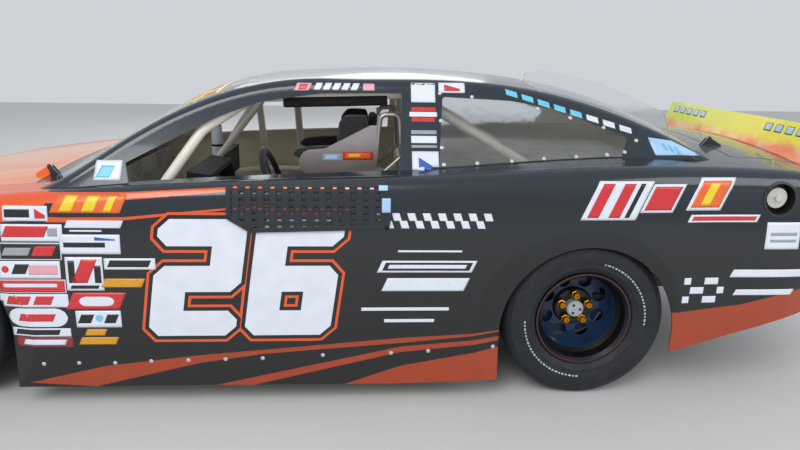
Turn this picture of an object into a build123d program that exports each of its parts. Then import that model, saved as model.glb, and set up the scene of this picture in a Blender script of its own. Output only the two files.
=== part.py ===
from build123d import *
import math
import os

# Driving dimensions in millimetres. The car stands on z = 0, nose towards +X, left side towards +Y.
LENGTH = 5050
WHEELBASE = 2794
REAR_OVERHANG = 1226
HALF_TRACK = 775
TYRE_R = 354
TYRE_HALF_W = 152
RIM_R = 208
RIM_HALF_W = 130
SHEET = 10                    # body panel thickness
GLAZING_BASE_Z = 860          # hidden lower edge of the greenhouse sections

REAR_AXLE = REAR_OVERHANG - LENGTH / 2
FRONT_AXLE = REAR_AXLE + WHEELBASE
AXLE_Z = TYRE_R

# Wheel openings: distance ahead of the rear axle, height of the centre, lip radius, crease radius
ARCHES = [(0, 312, 378, 464), (WHEELBASE, 312, 408, 478)]
FLARE_DEPTH = 16
SIDE_Y = 962                  # half width of the side where the creases lie

# Panel seams, as distances ahead of the rear axle
TAIL_SEAM = -1010
DECK_REAR = -1062
DECK_FRONT = -668
DOOR_REAR = 560
DOOR_FRONT = 2060
COWL_SEAM = 2322
HOOD_FRONT = 3470
NOSE_SEAM = 3262
SKIRT_FRONT, SKIRT_REAR = 2388, 370
SKIRT_TOP_FRONT, SKIRT_TOP_REAR = 245, 320
HOOD_HALF_REAR, HOOD_HALF_FRONT = 735, 600
DECK_HALF = 700
GAP = 6                       # gap round the hood and the deck lid
BORE_CLEARANCE = 0.05

# Lid hinges: pins as (ahead, z), where along the car's width they stand, and the panels' height there
HOOD_PIN, HOOD_HINGE_Y, HOOD_HINGE_SURFACE = (2320, 958), 600, 920
DECK_PIN, DECK_HINGE_Y, DECK_HINGE_SURFACE = (-664, 1092), 500, 1058
HINGE_PIN_R, HINGE_EYE_R, HINGE_STRAP, HINGE_SINK = 4, 10, 14, 6

# Sections of the lower body. Columns: ahead of the rear axle, sill height, sill half width, side height,
# side half width, belt height, belt half width, top edge height, top edge half width, crown height.
BODY = [
    (-1226, 475, 610, 600, 640, 760, 610, 815, 540, 845),
    (-1185, 450, 770, 600, 800, 850, 765, 912, 690, 942),
    (-1080, 422, 870, 600, 890, 895, 862, 965, 785, 1012),
    (-650, 290, 930, 590, 945, 925, 925, 1018, 850, 1082),
    (-200, 170, 952, 580, 963, 935, 944, 1025, 860, 1092),
    (600, 90, 960, 560, 965, 915, 945, 985, 860, 1050),
    (1500, 88, 962, 540, 965, 890, 940, 952, 860, 1000),
    (2250, 88, 960, 500, 963, 845, 934, 905, 850, 952),
    (2794, 88, 955, 470, 958, 785, 924, 850, 825, 882),
    (3300, 92, 900, 430, 915, 690, 872, 765, 765, 796),
    (3640, 98, 740, 400, 762, 590, 705, 655, 600, 690),
    (3824, 110, 470, 380, 500, 500, 455, 552, 370, 580),
]

# Sections of the greenhouse. Columns: ahead of the rear axle, height where the side ends, shoulder height,
# shoulder inset from the side, crown height.
GREENHOUSE = [
    (2330, 868, 890, 90, 925),
    (2190, 905, 938, 85, 1000),
    (1940, 1056, 1098, 75, 1146),
    (1640, 1205, 1252, 70, 1298),
    (1400, 1272, 1322, 70, 1352),
    (1016, 1292, 1346, 75, 1376),
    (700, 1294, 1348, 75, 1380),
    (320, 1272, 1326, 75, 1356),
    (-85, 1180, 1238, 75, 1288),
    (-480, 1012, 1072, 80, 1140),
    (-700, 890, 950, 90, 1040),
]
TUMBLEHOME = 0.686            # inward lean of the cabin side for each millimetre of height
SIDE_GLASS_FOOT = (930, 840)  # a height and the half width there


def along(ahead):
    """X of a point given by its distance ahead of the rear axle."""
    return REAR_AXLE + ahead


def cabin_half_width(z):
    foot_z, foot_w = SIDE_GLASS_FOOT
    return foot_w - TUMBLEHOME * (z - foot_z)


def arch_section(x, points, crown):
    """Closed section across the car: flat bottom, bowed sides, rounded shoulders, crowned top."""
    (w0, z0), (w1, z1), (w2, z2), (w3, z3) = points
    bulge = 0.22
    ws = (w2 + w3) / 2 + bulge * (w2 - w3)
    zs = (z2 + z3) / 2 + bulge * (z3 - z2)
    left = [(w0, z0), (w1, z1), (w2, z2), (ws, zs), (w3, z3)]
    a, b, c, d, e = [(x, w, z) for w, z in left]
    f, g, h, i, j = [(x, -w, z) for w, z in left]
    return Wire([
        Line(f, a),
        ThreePointArc(a, b, c),
        ThreePointArc(c, d, e),
        ThreePointArc(e, (x, 0, crown), j),
        ThreePointArc(j, i, h),
        ThreePointArc(h, g, f),
    ])


def body_solid(inset=0.0, drop=0.0):
    """Lower body, drawn in by inset on every side and lowered at the open bottom by drop."""
    wires = []
    for n, (ahead, z0, w0, z1, w1, z2, w2, z3, w3, crown) in enumerate(BODY):
        shift = inset if n == 0 else -inset if n == len(BODY) - 1 else 0
        points = [(w0 - inset, z0 - drop), (w1 - inset, z1), (w2 - inset, z2 - 0.4 * inset),
                  (w3 - 0.5 * inset, z3 - inset)]
        wires.append(arch_section(along(ahead) + shift, points, crown - inset))
    return Solid.make_loft(wires)


def greenhouse_solid(inset=0.0, drop=0.0):
    """Cabin top, drawn in by inset, with its bottom lowered by drop."""
    wires = []
    for ahead, z_side, z_shoulder, step, crown in GREENHOUSE:
        z0 = GLAZING_BASE_Z - drop
        z1 = (z0 + z_side) / 2
        lean = inset * math.hypot(1, TUMBLEHOME)
        points = [(cabin_half_width(z) - lean, z) for z in (z0, z1, z_side)]
        points[2] = (points[2][0], z_side - 0.3 * inset)
        points[1] = (points[1][0] + 1.5, z1)
        points.append((cabin_half_width(z_side) - step - 0.5 * inset, z_shoulder - 1.05 * inset))
        wires.append(arch_section(along(ahead), points, crown - 1.1 * inset))
    return Solid.make_loft(wires)


def block(ahead_low, ahead_high, y_low, y_high, z_low, z_high):
    size = (ahead_high - ahead_low, y_high - y_low, z_high - z_low)
    centre = (along((ahead_low + ahead_high) / 2), (y_low + y_high) / 2, (z_low + z_high) / 2)
    return Pos(*centre) * Box(*size)


def side_plate(points, y_low, y_high, radius=0.0):
    """Flat plate drawn in side view as (ahead, z) points, between two planes of y."""
    outline = Polyline(*[(along(s), z) for s, z in points], close=True)
    face = make_face(outline)
    if radius:
        face = fillet(face.vertices(), radius)
    return extrude(Plane.XZ.offset(-y_low) * face, -(y_high - y_low))


def top_plate(points, z_low, z_high):
    """Flat plate drawn in plan as (ahead, y) points, between two heights."""
    face = make_face(Polyline(*[(along(s), y) for s, y in points], close=True))
    return extrude(Plane.XY.offset(z_low) * face, z_high - z_low)


def front_plate(points, ahead_low, ahead_high):
    """Prism drawn in front view as (y, z) points, between two stations."""
    face = make_face(Polyline(*points, close=True))
    return extrude(Plane.YZ.offset(along(ahead_low)) * face, ahead_high - ahead_low)


def place(point):
    s, y, z = point
    return Vector(along(s), y, z)


def tube(points, radius, bend):
    """Round tube through (ahead, y, z) points with its corners bent to arcs."""
    corners = [place(p) for p in points]
    wire = Wire(FilletPolyline(*corners, radius=bend).edges())
    start = Plane(origin=corners[0], z_dir=corners[1] - corners[0])
    return sweep(start * Circle(radius), path=wire)


def rod(a, b, radius):
    """Straight round bar between two (ahead, y, z) points."""
    p, q = place(a), place(b)
    return Plane(origin=p, z_dir=q - p) * Pos(0, 0, (q - p).length / 2) * Cylinder(radius, (q - p).length)


def beam(a, b, width, height):
    """Straight box tube between two (ahead, y, z) points."""
    p, q = place(a), place(b)
    side = Vector(0, 0, 1).cross(q - p)
    base = Plane(origin=p, x_dir=side, z_dir=q - p)
    return base * Pos(0, 0, (q - p).length / 2) * Box(width, height, (q - p).length)


def drum(centre, radius, width):
    """Cylinder lying across the car, centred on an (ahead, y, z) point."""
    return Pos(*place(centre)) * Rot(90, 0, 0) * Cylinder(radius, width)


def both(shape):
    """A shape and its mirror image on the other side of the car."""
    return [shape, mirror(shape, about=Plane.XZ)]


def hinge(axis, y, surface, toward):
    """Strap with an eye for the lid, and two cheeks with a pin for the body. axis is (ahead, z), surface the
    height of both panels, toward 1 where the lid lies ahead of the axis and -1 where it lies behind."""
    s, z = axis
    root, half = surface - HINGE_SINK, HINGE_STRAP / 2
    strap = side_plate([(s - 3 * toward, z + 8), (s + 62 * toward, surface + 4), (s + 62 * toward, root),
                        (s + 10 * toward, root), (s - 6 * toward, z - 7)], y - half, y + half)
    strap += drum((s, y, z), HINGE_EYE_R, HINGE_STRAP)
    strap -= drum((s, y, z), HINGE_PIN_R + BORE_CLEARANCE, 60)
    cheeks = drum((s, y, z), HINGE_PIN_R, HINGE_STRAP + 12)
    for side in (-1, 1):
        middle = y + side * (half + 3.5)
        cheeks += side_plate([(s - 46 * toward, root), (s - 10 * toward, root), (s + 8 * toward, z - 6),
                              (s + 7 * toward, z + 7), (s - 7 * toward, z + 8)], middle - 2.5, middle + 2.5)
    return strap, cheeks


def save(shape, node):
    export_step(shape, f"parts/{node}.step")


def save_pair(shape, node):
    save(shape, node + "_left")
    save(mirror(shape, about=Plane.XZ), node + "_right")


def spread(shape):
    """Solids of a shape gathered under one parent."""
    return Compound(children=list(shape.solids())) if len(shape.solids()) > 1 else shape.solids()[0]


# Wheel openings
def arch_opening(ahead, z, radius, y_low=560):
    hole = drum((ahead, (y_low + 1100) / 2, z), radius, 1100 - y_low)
    return hole + block(ahead - radius, ahead + radius, y_low, 1100, -50, z)


def arch_recess(ahead, z, lip, crease, inward=0.0):
    """Shallow cone that draws the side in from the crease towards the lip of a wheel opening."""
    lip_y = SIDE_Y - FLARE_DEPTH - inward
    slope = (crease - lip) / FLARE_DEPTH
    low, high = lip_y - 20, SIDE_Y + 16
    cone = Cone(lip - 20 * slope, lip + (high - lip_y) * slope, high - low)
    return Pos(along(ahead), (low + high) / 2, z) * Rot(-90, 0, 0) * cone


# Shells of the lower body and of the greenhouse
body_outer = body_solid()
body_inner = body_solid(SHEET, 80)
for arch in ARCHES:
    for outer_cone, inner_cone in zip(both(arch_recess(*arch)), both(arch_recess(*arch, SHEET))):
        body_outer = body_outer - outer_cone
        body_inner = body_inner - inner_cone
cabin_outer = greenhouse_solid()
cabin_inner = greenhouse_solid(SHEET, 20)
shell = body_outer - body_inner - cabin_inner
for ahead, z, lip, crease in ARCHES:
    for hole in both(arch_opening(ahead, z, lip)):
        shell = shell - hole
cabin = cabin_outer - cabin_inner - body_outer

# Hood and deck lid lie inside a gap
def hood_outline(grow):
    rear, front = COWL_SEAM - grow, HOOD_FRONT + grow
    return [(rear, HOOD_HALF_REAR + grow), (front, HOOD_HALF_FRONT + grow),
            (front, -HOOD_HALF_FRONT - grow), (rear, -HOOD_HALF_REAR - grow)]


hood_prism = top_plate(hood_outline(0), 560, 1100)
hood_hole = top_plate(hood_outline(GAP), 560, 1100)
deck_prism = block(DECK_REAR, DECK_FRONT, -DECK_HALF, DECK_HALF, 880, 1200)
deck_hole = block(DECK_REAR - GAP, DECK_FRONT + GAP, -DECK_HALF - GAP, DECK_HALF + GAP, 880, 1200)
hood = shell & hood_prism
deck_lid = shell & deck_prism
shell = shell - hood_hole - deck_hole

grille_hole = block(3700, 3900, -400, 400, 190, 370)
duct_holes = both(block(3600, 3900, 470, 580, 200, 320))
nose = (shell & block(NOSE_SEAM, 3900, -1100, 1100, 0, 1200)) - grille_hole
for duct in duct_holes:
    nose = nose - duct
skirt_zone = side_plate([(SKIRT_FRONT + 40, 0), (SKIRT_FRONT + 40, SKIRT_TOP_FRONT),
                         (SKIRT_REAR, SKIRT_TOP_REAR), (SKIRT_REAR, 0)], 600, 1100)
cowl_zone = block(2000, COWL_SEAM - GAP, -745, 745, 800, 1200)
cowl = shell & cowl_zone
skirt = shell & skirt_zone
side = shell - skirt_zone
fender = (side & block(DOOR_FRONT, NOSE_SEAM, 0, 1100, 0, 1200)) - cowl_zone
door = side & block(DOOR_REAR, DOOR_FRONT, 0, 1100, 0, 1200)
quarter = side & block(TAIL_SEAM, DOOR_REAR, 0, 1100, 0, 1200)
tail = shell & block(-1300, TAIL_SEAM, -1100, 1100, 0, 1200)

for side in (-1, 1):
    strap, cheeks = hinge(HOOD_PIN, side * HOOD_HINGE_Y, HOOD_HINGE_SURFACE, 1)
    hood += strap
    cowl += cheeks
    strap, cheeks = hinge(DECK_PIN, side * DECK_HINGE_Y, DECK_HINGE_SURFACE, -1)
    deck_lid += strap
    if side > 0:
        quarter += cheeks

# Window openings in the greenhouse
DOOR_WINDOW = [(1905, 925), (1930, 1006), (1712, 1116), (1573, 1184), (1400, 1246), (1145, 1283),
               (790, 1288), (806, 950)]
QUARTER_WINDOW = [(640, 985), (612, 1275), (315, 1262), (100, 1228), (-190, 1118), (-150, 1030), (-60, 1012)]
door_windows = both(side_plate(DOOR_WINDOW, 300, 1100))
quarter_windows = both(side_plate(QUARTER_WINDOW, 300, 1100, 14))


def glass_zone(inset, ahead_low, ahead_high):
    """Region between the pillars as seen from the front or the back."""
    low, high = 800, 1420
    a, b = cabin_half_width(low) - inset, cabin_half_width(high) - inset
    return front_plate([(a, low), (b, high), (-b, high), (-a, low)], ahead_low, ahead_high)


windshield_zone = glass_zone(72, 1440, 2500)
rear_glass_zone = glass_zone(110, -1000, 170)
windshield = cabin & windshield_zone
rear_window = cabin & rear_glass_zone
quarter_window = cabin & quarter_windows[0]
roof = cabin - windshield_zone - rear_glass_zone
for hole in door_windows + quarter_windows:
    roof = roof - hole

# Pieces fixed to the outside of the body
SPOILER_FOOT, SPOILER_HEAD = -1022, -1072
SPOILER_HALF, SPOILER_TOP = 762, 1172
SPOILER_ROOT_Z = 1035
spoiler_lean = (SPOILER_HEAD - SPOILER_FOOT) / (SPOILER_TOP - SPOILER_ROOT_Z)


def spoiler_slab(z_low, y_low, y_high):
    """Leaning blade of the spoiler between a lower height and its top edge."""
    foot = SPOILER_FOOT + spoiler_lean * (z_low - SPOILER_ROOT_Z)
    outline = [(foot, z_low), (SPOILER_HEAD, SPOILER_TOP), (SPOILER_HEAD - 6, SPOILER_TOP), (foot - 6, z_low)]
    return side_plate(outline, y_low, y_high)


spoiler_blade = spoiler_slab(940, -DECK_HALF, DECK_HALF)
spoiler_foot = block(SPOILER_FOOT - 6, SPOILER_FOOT + 44, -DECK_HALF + 4, DECK_HALF - 4, 900, 1100) & (
    Pos(0, 0, 6) * body_outer)
spoiler = (spoiler_blade + spoiler_foot) - body_outer
spoiler_ends = both(spoiler_slab(1062, DECK_HALF, SPOILER_HALF))
spoiler = spoiler + spoiler_ends
for y in (-560, -190, 190, 560):
    brace = side_plate([(-1026, 1028), (-1057, 1028), (-1060, 1124)], y - 2, y + 2)
    spoiler += brace - body_outer
FIN_Y = 500
shark_fin = side_plate([(250, 1250), (230, 1380), (150, 1392), (-120, 1340), (-430, 1212), (-500, 1040)],
                       FIN_Y, FIN_Y + 6) - cabin_outer - body_outer

# Fuel filler: a cup sunk in the left quarter behind a flange, a cap with a grip, and a hose down to the cell
FILLER, FILLER_SINK = (-775, 897), 870
CUP_R, CUP_WALL, FLANGE_R, CAP_R = 64, 4, 74, 43


def filler_drum(radius, y_low, y_high):
    ahead, z = FILLER
    return drum((ahead, (y_low + y_high) / 2, z), radius, y_high - y_low)


quarter_left = quarter - filler_drum(CUP_R + CUP_WALL, 800, 1000)
fuel_cell = block(-1070, -520, -330, 330, 290, 590)
cup = filler_drum(CUP_R + CUP_WALL, FILLER_SINK, 1000) & body_outer
flange = (filler_drum(FLANGE_R, FILLER_SINK, 1000) & (Pos(0, 3, 0) * body_outer)) - body_outer
fuel_filler = cup + flange - filler_drum(CUP_R, FILLER_SINK + 5, 1000)
fuel_filler += filler_drum(CAP_R, FILLER_SINK, FILLER_SINK + 36)
fuel_filler += filler_drum(12, FILLER_SINK, FILLER_SINK + 48)
hose = tube([(FILLER[0], FILLER_SINK + 3, FILLER[1]), (FILLER[0], 750, 870), (-785, 350, 640),
             (-785, 270, 560)], 28, 70)
fuel_filler += hose - fuel_cell

# Net in the left door window: one sheet that follows the panel outside
NET = [(1503, 978), (1503, 812), (1408, 752), (850, 766), (832, 872), (868, 978)]
net_skin = (Pos(0, 8, 6) * body_outer) & side_plate(NET, 880, 1100)
window_net = net_skin - (Pos(0, 3, 2.5) * body_outer)

# Chassis: two box rails that sweep in beside the engine and over the rear axle
RAIL_Y, RAIL_Z, RAIL_W, RAIL_H = 640, 175, 75, 120
CLIP_Y, CLIP_Z = 400, 300
KICK_Y, KICK_Z = 480, 520
rail = [
    beam((3600, CLIP_Y, CLIP_Z), (2400, CLIP_Y, CLIP_Z), RAIL_W, 100),
    beam((2420, CLIP_Y, CLIP_Z), (2180, RAIL_Y, RAIL_Z + 10), RAIL_W, 100),
    beam((2200, RAIL_Y, RAIL_Z), (420, RAIL_Y, RAIL_Z), RAIL_W, RAIL_H),
    beam((440, RAIL_Y, RAIL_Z + 10), (230, KICK_Y, 400), RAIL_W, 90),
    beam((245, KICK_Y, 385), (90, KICK_Y, KICK_Z), RAIL_W, 90),
    beam((110, KICK_Y, KICK_Z), (-160, KICK_Y, KICK_Z), RAIL_W, 90),
    beam((-140, KICK_Y, KICK_Z), (-420, KICK_Y, 420), RAIL_W, 90),
    beam((-400, KICK_Y, 420), (-1130, KICK_Y, 420), RAIL_W, 90),
]
cross = [
    beam((3570, -CLIP_Y, CLIP_Z), (3570, CLIP_Y, CLIP_Z), 60, 80),
    beam((WHEELBASE, -CLIP_Y, 205), (WHEELBASE, CLIP_Y, 205), 80, 40),
    beam((2160, -RAIL_Y, 132), (2160, RAIL_Y, 132), 60, 34),
    beam((1400, -RAIL_Y, 132), (1400, RAIL_Y, 132), 60, 34),
    beam((450, -RAIL_Y, 132), (450, RAIL_Y, 132), 50, 34),
    beam((140, -KICK_Y, 548), (140, KICK_Y, 548), 60, 50),
    beam((-480, -KICK_Y, 420), (-480, KICK_Y, 420), 50, 80),
    beam((-1105, -KICK_Y, 420), (-1105, KICK_Y, 420), 50, 80),
]
FRONT_SPRING_Y = 520
mounts = [
    block(WHEELBASE - 40, WHEELBASE + 40, CLIP_Y - 30, CLIP_Y + 30, 200, CLIP_Z),
    block(WHEELBASE - 35, WHEELBASE + 35, CLIP_Y - 10, CLIP_Y + 30, 300, 620),
    block(WHEELBASE - 45, WHEELBASE + 45, CLIP_Y - 10, FRONT_SPRING_Y + 46, 605, 625),
]
frame = Part() + rail + cross + mounts + [mirror(p, about=Plane.XZ) for p in rail + mounts]

# Roll cage of bent and welded round tube: hoop, legs with roof rails, door bars, cross bars, rear braces
TUBE_R, BRACE_R = 22, 16
HOOP = 740                    # station of the main hoop
ROOF_BAR_Z = 1282
CAGE_FOOT_Y, CAGE_FOOT_Z = 655, RAIL_Z + RAIL_H / 2
HOOP_ELBOW = (755, 880)       # y and height of the hoop's lower bend
LEG_ELBOW = (1812, 728, 890)
DASH_BAR_Z = 800
DOOR_BAR_HEIGHTS = (330, 450, 570, 690)
DOOR_BAR_Y = 850
PAD_BAR_R = 26                # padding under the roof rail beside the driver


def hoop_y(z):
    """Half width of the hoop's upright at a height."""
    return CAGE_FOOT_Y + (HOOP_ELBOW[0] - CAGE_FOOT_Y) * (z - CAGE_FOOT_Z) / (HOOP_ELBOW[1] - CAGE_FOOT_Z)


def leg_point(z):
    """Point on the front leg's upright at a height."""
    s, y, top = LEG_ELBOW
    return (s + 13 * (top - z) / (top - CAGE_FOOT_Z),
            CAGE_FOOT_Y + (y - CAGE_FOOT_Y) * (z - CAGE_FOOT_Z) / (top - CAGE_FOOT_Z), z)


def notched(shape, *others):
    """A tube with its ends cut to the tubes that it meets."""
    for other in others:
        shape = shape - other
    return max(shape.solids(), key=lambda solid: solid.volume)


elbow_y, elbow_z = HOOP_ELBOW
half_hoop = [(HOOP, hoop_y(CAGE_FOOT_Z), CAGE_FOOT_Z), (HOOP, elbow_y, elbow_z), (HOOP, 535, ROOF_BAR_Z)]
cage_hoop = tube(half_hoop + [(s, -y, z) for s, y, z in reversed(half_hoop)], TUBE_R, 110)
cage_hoop += rod((HOOP, hoop_y(850), 850), (HOOP, -hoop_y(850), 850), TUBE_R)
cage_hoop += rod((HOOP, -hoop_y(300), 300), (HOOP, 380, ROOF_BAR_Z - 10), TUBE_R)
cage_hoop = notched(cage_hoop, frame)
cage_leg = notched(tube([leg_point(CAGE_FOOT_Z), LEG_ELBOW, (1640, 655, 1130), (1440, 520, 1258),
                         (HOOP, 520, ROOF_BAR_Z)], TUBE_R, 120), frame, cage_hoop)
cage_legs = both(cage_leg)
cage_legs[0] += rod((848, 520, 1256), (1313, 520, 1242), PAD_BAR_R)
door_bar = Part() + [tube([(HOOP, hoop_y(z), z), (900, DOOR_BAR_Y, z), (1640, DOOR_BAR_Y, z), leg_point(z)],
                          TUBE_R, 110) for z in DOOR_BAR_HEIGHTS]
for s in (1060, 1480):
    door_bar += rod((s, DOOR_BAR_Y, 320), (s, DOOR_BAR_Y, 700), BRACE_R)
window_posts = [rod((s, DOOR_BAR_Y, DOOR_BAR_HEIGHTS[-1]), (s, y, z), TUBE_R)
                for s, y, z in ((1600, 628, 1156), (1363, 520, 1261))]      # on the right side alone
door_bars = [notched(door_bar, cage_hoop, cage_leg),
             mirror(notched(door_bar + window_posts, cage_hoop, cage_leg), about=Plane.XZ)]
cage_cross = rod((1440, 520, 1262), (1440, -520, 1262), TUBE_R)
cage_cross += rod((LEG_ELBOW[0], 724, DASH_BAR_Z), (LEG_ELBOW[0], -724, DASH_BAR_Z), TUBE_R)
cage_cross += rod((1440, 0, 1262), (HOOP, 0, ROOF_BAR_Z), BRACE_R)
cage_cross += rod((1440, 0, 1262), (LEG_ELBOW[0], 0, DASH_BAR_Z), BRACE_R)
cage_cross = notched(cage_cross, cage_hoop, *cage_legs)
rear_brace = tube([(HOOP, 500, ROOF_BAR_Z - 10), (-330, 470, 660), (-620, 480, 460)], TUBE_R, 150)
rear_braces = both(notched(rear_brace, cage_hoop, frame))
cage = [cage_hoop, cage_cross] + cage_legs + door_bars + rear_braces

# Floor, firewalls and wheel wells
FLOOR_Z, PAN = 237, 5
TUNNEL_HALF, TUNNEL_Z, TUNNEL_FLARE = 100, 430, 25
FIREWALL, BACK_WALL = 2190, 620


def tunnel(inset, ahead_low, ahead_high):
    """Prism of the shaft tunnel, drawn in by inset and as much lower."""
    foot, top = TUNNEL_HALF + TUNNEL_FLARE - inset, TUNNEL_HALF - inset
    low = FLOOR_Z - 4 * inset
    return front_plate([(-foot, low), (-top, TUNNEL_Z - inset), (top, TUNNEL_Z - inset), (foot, low)],
                       ahead_low, ahead_high)


tunnel_outer = tunnel(0, BACK_WALL, FIREWALL)
tunnel_inner = tunnel(PAN, BACK_WALL - 20, FIREWALL + 20)
floor_pan = block(BACK_WALL, FIREWALL, -670, 670, FLOOR_Z, FLOOR_Z + PAN)
floor_pan += front_plate([(-670, FLOOR_Z), (-735, 500), (-735, 860), (735, 860), (735, 500), (670, FLOOR_Z)],
                         FIREWALL - PAN, FIREWALL)
floor_pan += front_plate([(-610, FLOOR_Z), (-700, 600), (-700, 935), (700, 935), (700, 600), (610, FLOOR_Z)],
                         BACK_WALL, BACK_WALL + PAN)
floor_pan += block(-560, BACK_WALL + PAN, -700, 700, 930, 935)
floor_pan = floor_pan + tunnel_outer - tunnel_inner - frame - cage
rear_well = side_plate([(-400, 330), (-400, 928), (400, 928), (400, 330)], 585, 589)
front_well = side_plate([(2440, 352), (2440, 760), (3230, 700), (3230, 352)], 436, 440)
rear_well -= drum((0, 587, AXLE_Z), 70, 40)
front_well = front_well - block(2660, 2930, 430, 446, 340, 640)
rear_well = rear_well - frame
front_well = front_well - frame
wheel_wells = both(rear_well) + both(front_well)

# Dash, steering column and steering wheel
SEAT_Y = 330
WHEEL_CENTRE = (1385, SEAT_Y, 820)
COLUMN_TILT = 18
dash = front_plate([(-668, 730), (-668, 880), (668, 880), (668, 730)], 1745, 1785)
dash += side_plate([(1745, 760), (1620, 800), (1640, 915), (1745, 930)], SEAT_Y - 240, SEAT_Y + 240)
dash += Pos(*place((1756, -120, 949))) * Cylinder(28, 222)
dash -= side_plate([(1746, 880), (1600, 900), (1600, 790), (1690, 790)], SEAT_Y - 225, SEAT_Y + 225)


def on_column(distance):
    """Point on the steering axis, at a distance ahead of the steering wheel."""
    tilt = math.radians(COLUMN_TILT)
    s, y, z = WHEEL_CENTRE
    return (s + distance * math.cos(tilt), y, z - distance * math.sin(tilt))


column = rod(on_column(60), on_column(832), 20) - rod(on_column(40), on_column(140), 12.05)
dash = dash - rod(on_column(200), on_column(600), 20) - cage
steering_wheel = rod(on_column(0), on_column(130), 12) + rod(on_column(-14), on_column(6), 38)
wheel_plane = Plane(origin=place(WHEEL_CENTRE), x_dir=(0, 1, 0),
                    z_dir=place(on_column(-100)) - place(on_column(0)))
steering_wheel += wheel_plane * Torus(178, 15)
for angle in (0, 180, 270):
    steering_wheel += wheel_plane * Rot(0, 0, angle) * Pos(100, 0, -4) * Box(150, 34, 6)

# Seat shell with its head and shoulder supports, and its pads
SEAT_HALF, SEAT_WALL = 205, 8
SEAT_SIDE = [(1560, 292), (1580, 430), (1400, 468), (1225, 520), (1188, 700), (1176, 915), (1190, 915),
             (1190, 1029), (1130, 1034), (925, 1140), (880, 1140), (905, 860), (1110, 245)]
SEAT_MID = [(1560, 292), (1562, 300), (1118, 253), (918, 860), (893, 1185), (880, 1185), (905, 860),
            (1110, 245)]
WING_NOSE, WING_R = (1190, 972), 57     # rounded front end of each shoulder wing
SEAT_HOOP = [(888, 1100), (880, 1188), (795, 1188), (782, 1000), (903, 890)]
HOOP_BAR_R = 11
seat_shell = side_plate(SEAT_MID, SEAT_Y - SEAT_HALF, SEAT_Y + SEAT_HALF)
for y in (SEAT_Y - SEAT_HALF, SEAT_Y + SEAT_HALF - SEAT_WALL):
    middle = y + SEAT_WALL / 2
    seat_shell += side_plate(SEAT_SIDE, y, y + SEAT_WALL)
    seat_shell += drum((WING_NOSE[0], middle, WING_NOSE[1]), WING_R, SEAT_WALL)
    seat_shell += tube([(s, middle, z) for s, z in SEAT_HOOP], HOOP_BAR_R, 30)
pad_half = SEAT_HALF - SEAT_WALL
pad_right, pad_left = SEAT_Y - pad_half, SEAT_Y + pad_half
HEAD_PAD, SHOULDER_PAD = 62, 50         # thickness of the pads beside the head and the shoulders
seat_pads = [
    side_plate([(1545, 300), (1545, 345), (1180, 315), (1150, 262)], pad_right, pad_left, 12),
    side_plate([(1112, 290), (1160, 330), (975, 860), (925, 870)], pad_right, pad_left, 12),
    side_plate([(905, 1030), (940, 1035), (930, 1180), (895, 1180)], SEAT_Y - 110, SEAT_Y + 110, 8),
]
for side in (-1, 1):
    wall = SEAT_Y + side * pad_half
    for thickness, outline, radius in (
            (HEAD_PAD, [(925, 1036), (1078, 1036), (1070, 1150), (1040, 1184), (940, 1184)], 14),
            (SHOULDER_PAD, [(1085, 984), (1085, 1048), (1255, 1034), (1284, 1008), (1255, 984)], 8)):
        inner = wall - side * thickness
        seat_pads.append(side_plate(outline, min(wall, inner), max(wall, inner), radius))
seat_legs = [block(s - 20, s + 20, SEAT_Y + dy - 15, SEAT_Y + dy + 15, FLOOR_Z + PAN, z)
             for s, z in ((1480, 285), (1150, 251)) for dy in (-150, 150)]
seat_shell = seat_shell + seat_legs

# Engine, gearbox, shaft and rear axle
engine = front_plate([(-120, 235), (-205, 330), (-290, 600), (-190, 660), (190, 660), (290, 600), (205, 330),
                      (120, 235)], 2345, 2850)
engine += block(2400, 2800, -110, 110, 655, 720)
engine += Pos(*place((2580, 0, 755))) * Cylinder(190, 75)
engine += block(2850, 2900, -90, 90, 330, 600)
shaft_x = Rot(0, 90, 0)
gearbox = Pos(*place((2270, 0, 325))) * shaft_x * Cone(100, 175, 150)
gearbox += Pos(*place((1970, 0, 325))) * shaft_x * Cylinder(85, 450)
propshaft = rod((1743, 0, 325), (202, 0, 354), 36)
axle = drum((0, 0, AXLE_Z), 38, 1320) + Pos(*place((0, 0, AXLE_Z))) * Sphere(150)
axle += rod((200, 0, AXLE_Z), (60, 0, AXLE_Z), 60)
SPINDLE_R = 30
HUB_Y = 690
BRAKE_R, BRAKE_Y, BRAKE_THICK = 148, 700, 14
axle += drum((0, 0, AXLE_Z), SPINDLE_R, 2 * 745)


def caliper(ahead):
    """Brake caliper behind the axle: jaws on both sides of the disc, and the bracket that carries them."""
    body = block(ahead - 170, ahead - 96, 668, 722, AXLE_Z - 44, AXLE_Z + 44)
    body &= drum((ahead, BRAKE_Y, AXLE_Z), BRAKE_R + 16, 200)
    body -= drum((ahead, BRAKE_Y, AXLE_Z), BRAKE_R + 5, BRAKE_THICK + 10)
    return body + block(ahead - 102, ahead - 20, 668, 682, AXLE_Z - 14, AXLE_Z + 14)


axle += both(caliper(0))

# Rear links, springs and dampers
REAR_SPRING_Y = 372
links = [beam((40, 430, 248), (1400, 130, 170), 50, 40), block(-30, 60, 405, 455, 248, 340),
         Pos(*place((140, REAR_SPRING_Y, 404))) * Cylinder(50, 238),
         rod((-70, 400, 300), (-110, 400, 560), 24), beam((0, 400, 290), (-90, 400, 290), 30, 30),
         block(-130, -90, 380, 460, 540, 575)]
links[2] += block(90, 190, REAR_SPRING_Y - 50, REAR_SPRING_Y + 60, 262, 286)
rear_links = (Part() + links) - frame - drum((0, 0, AXLE_Z), 38, 1320)

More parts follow.
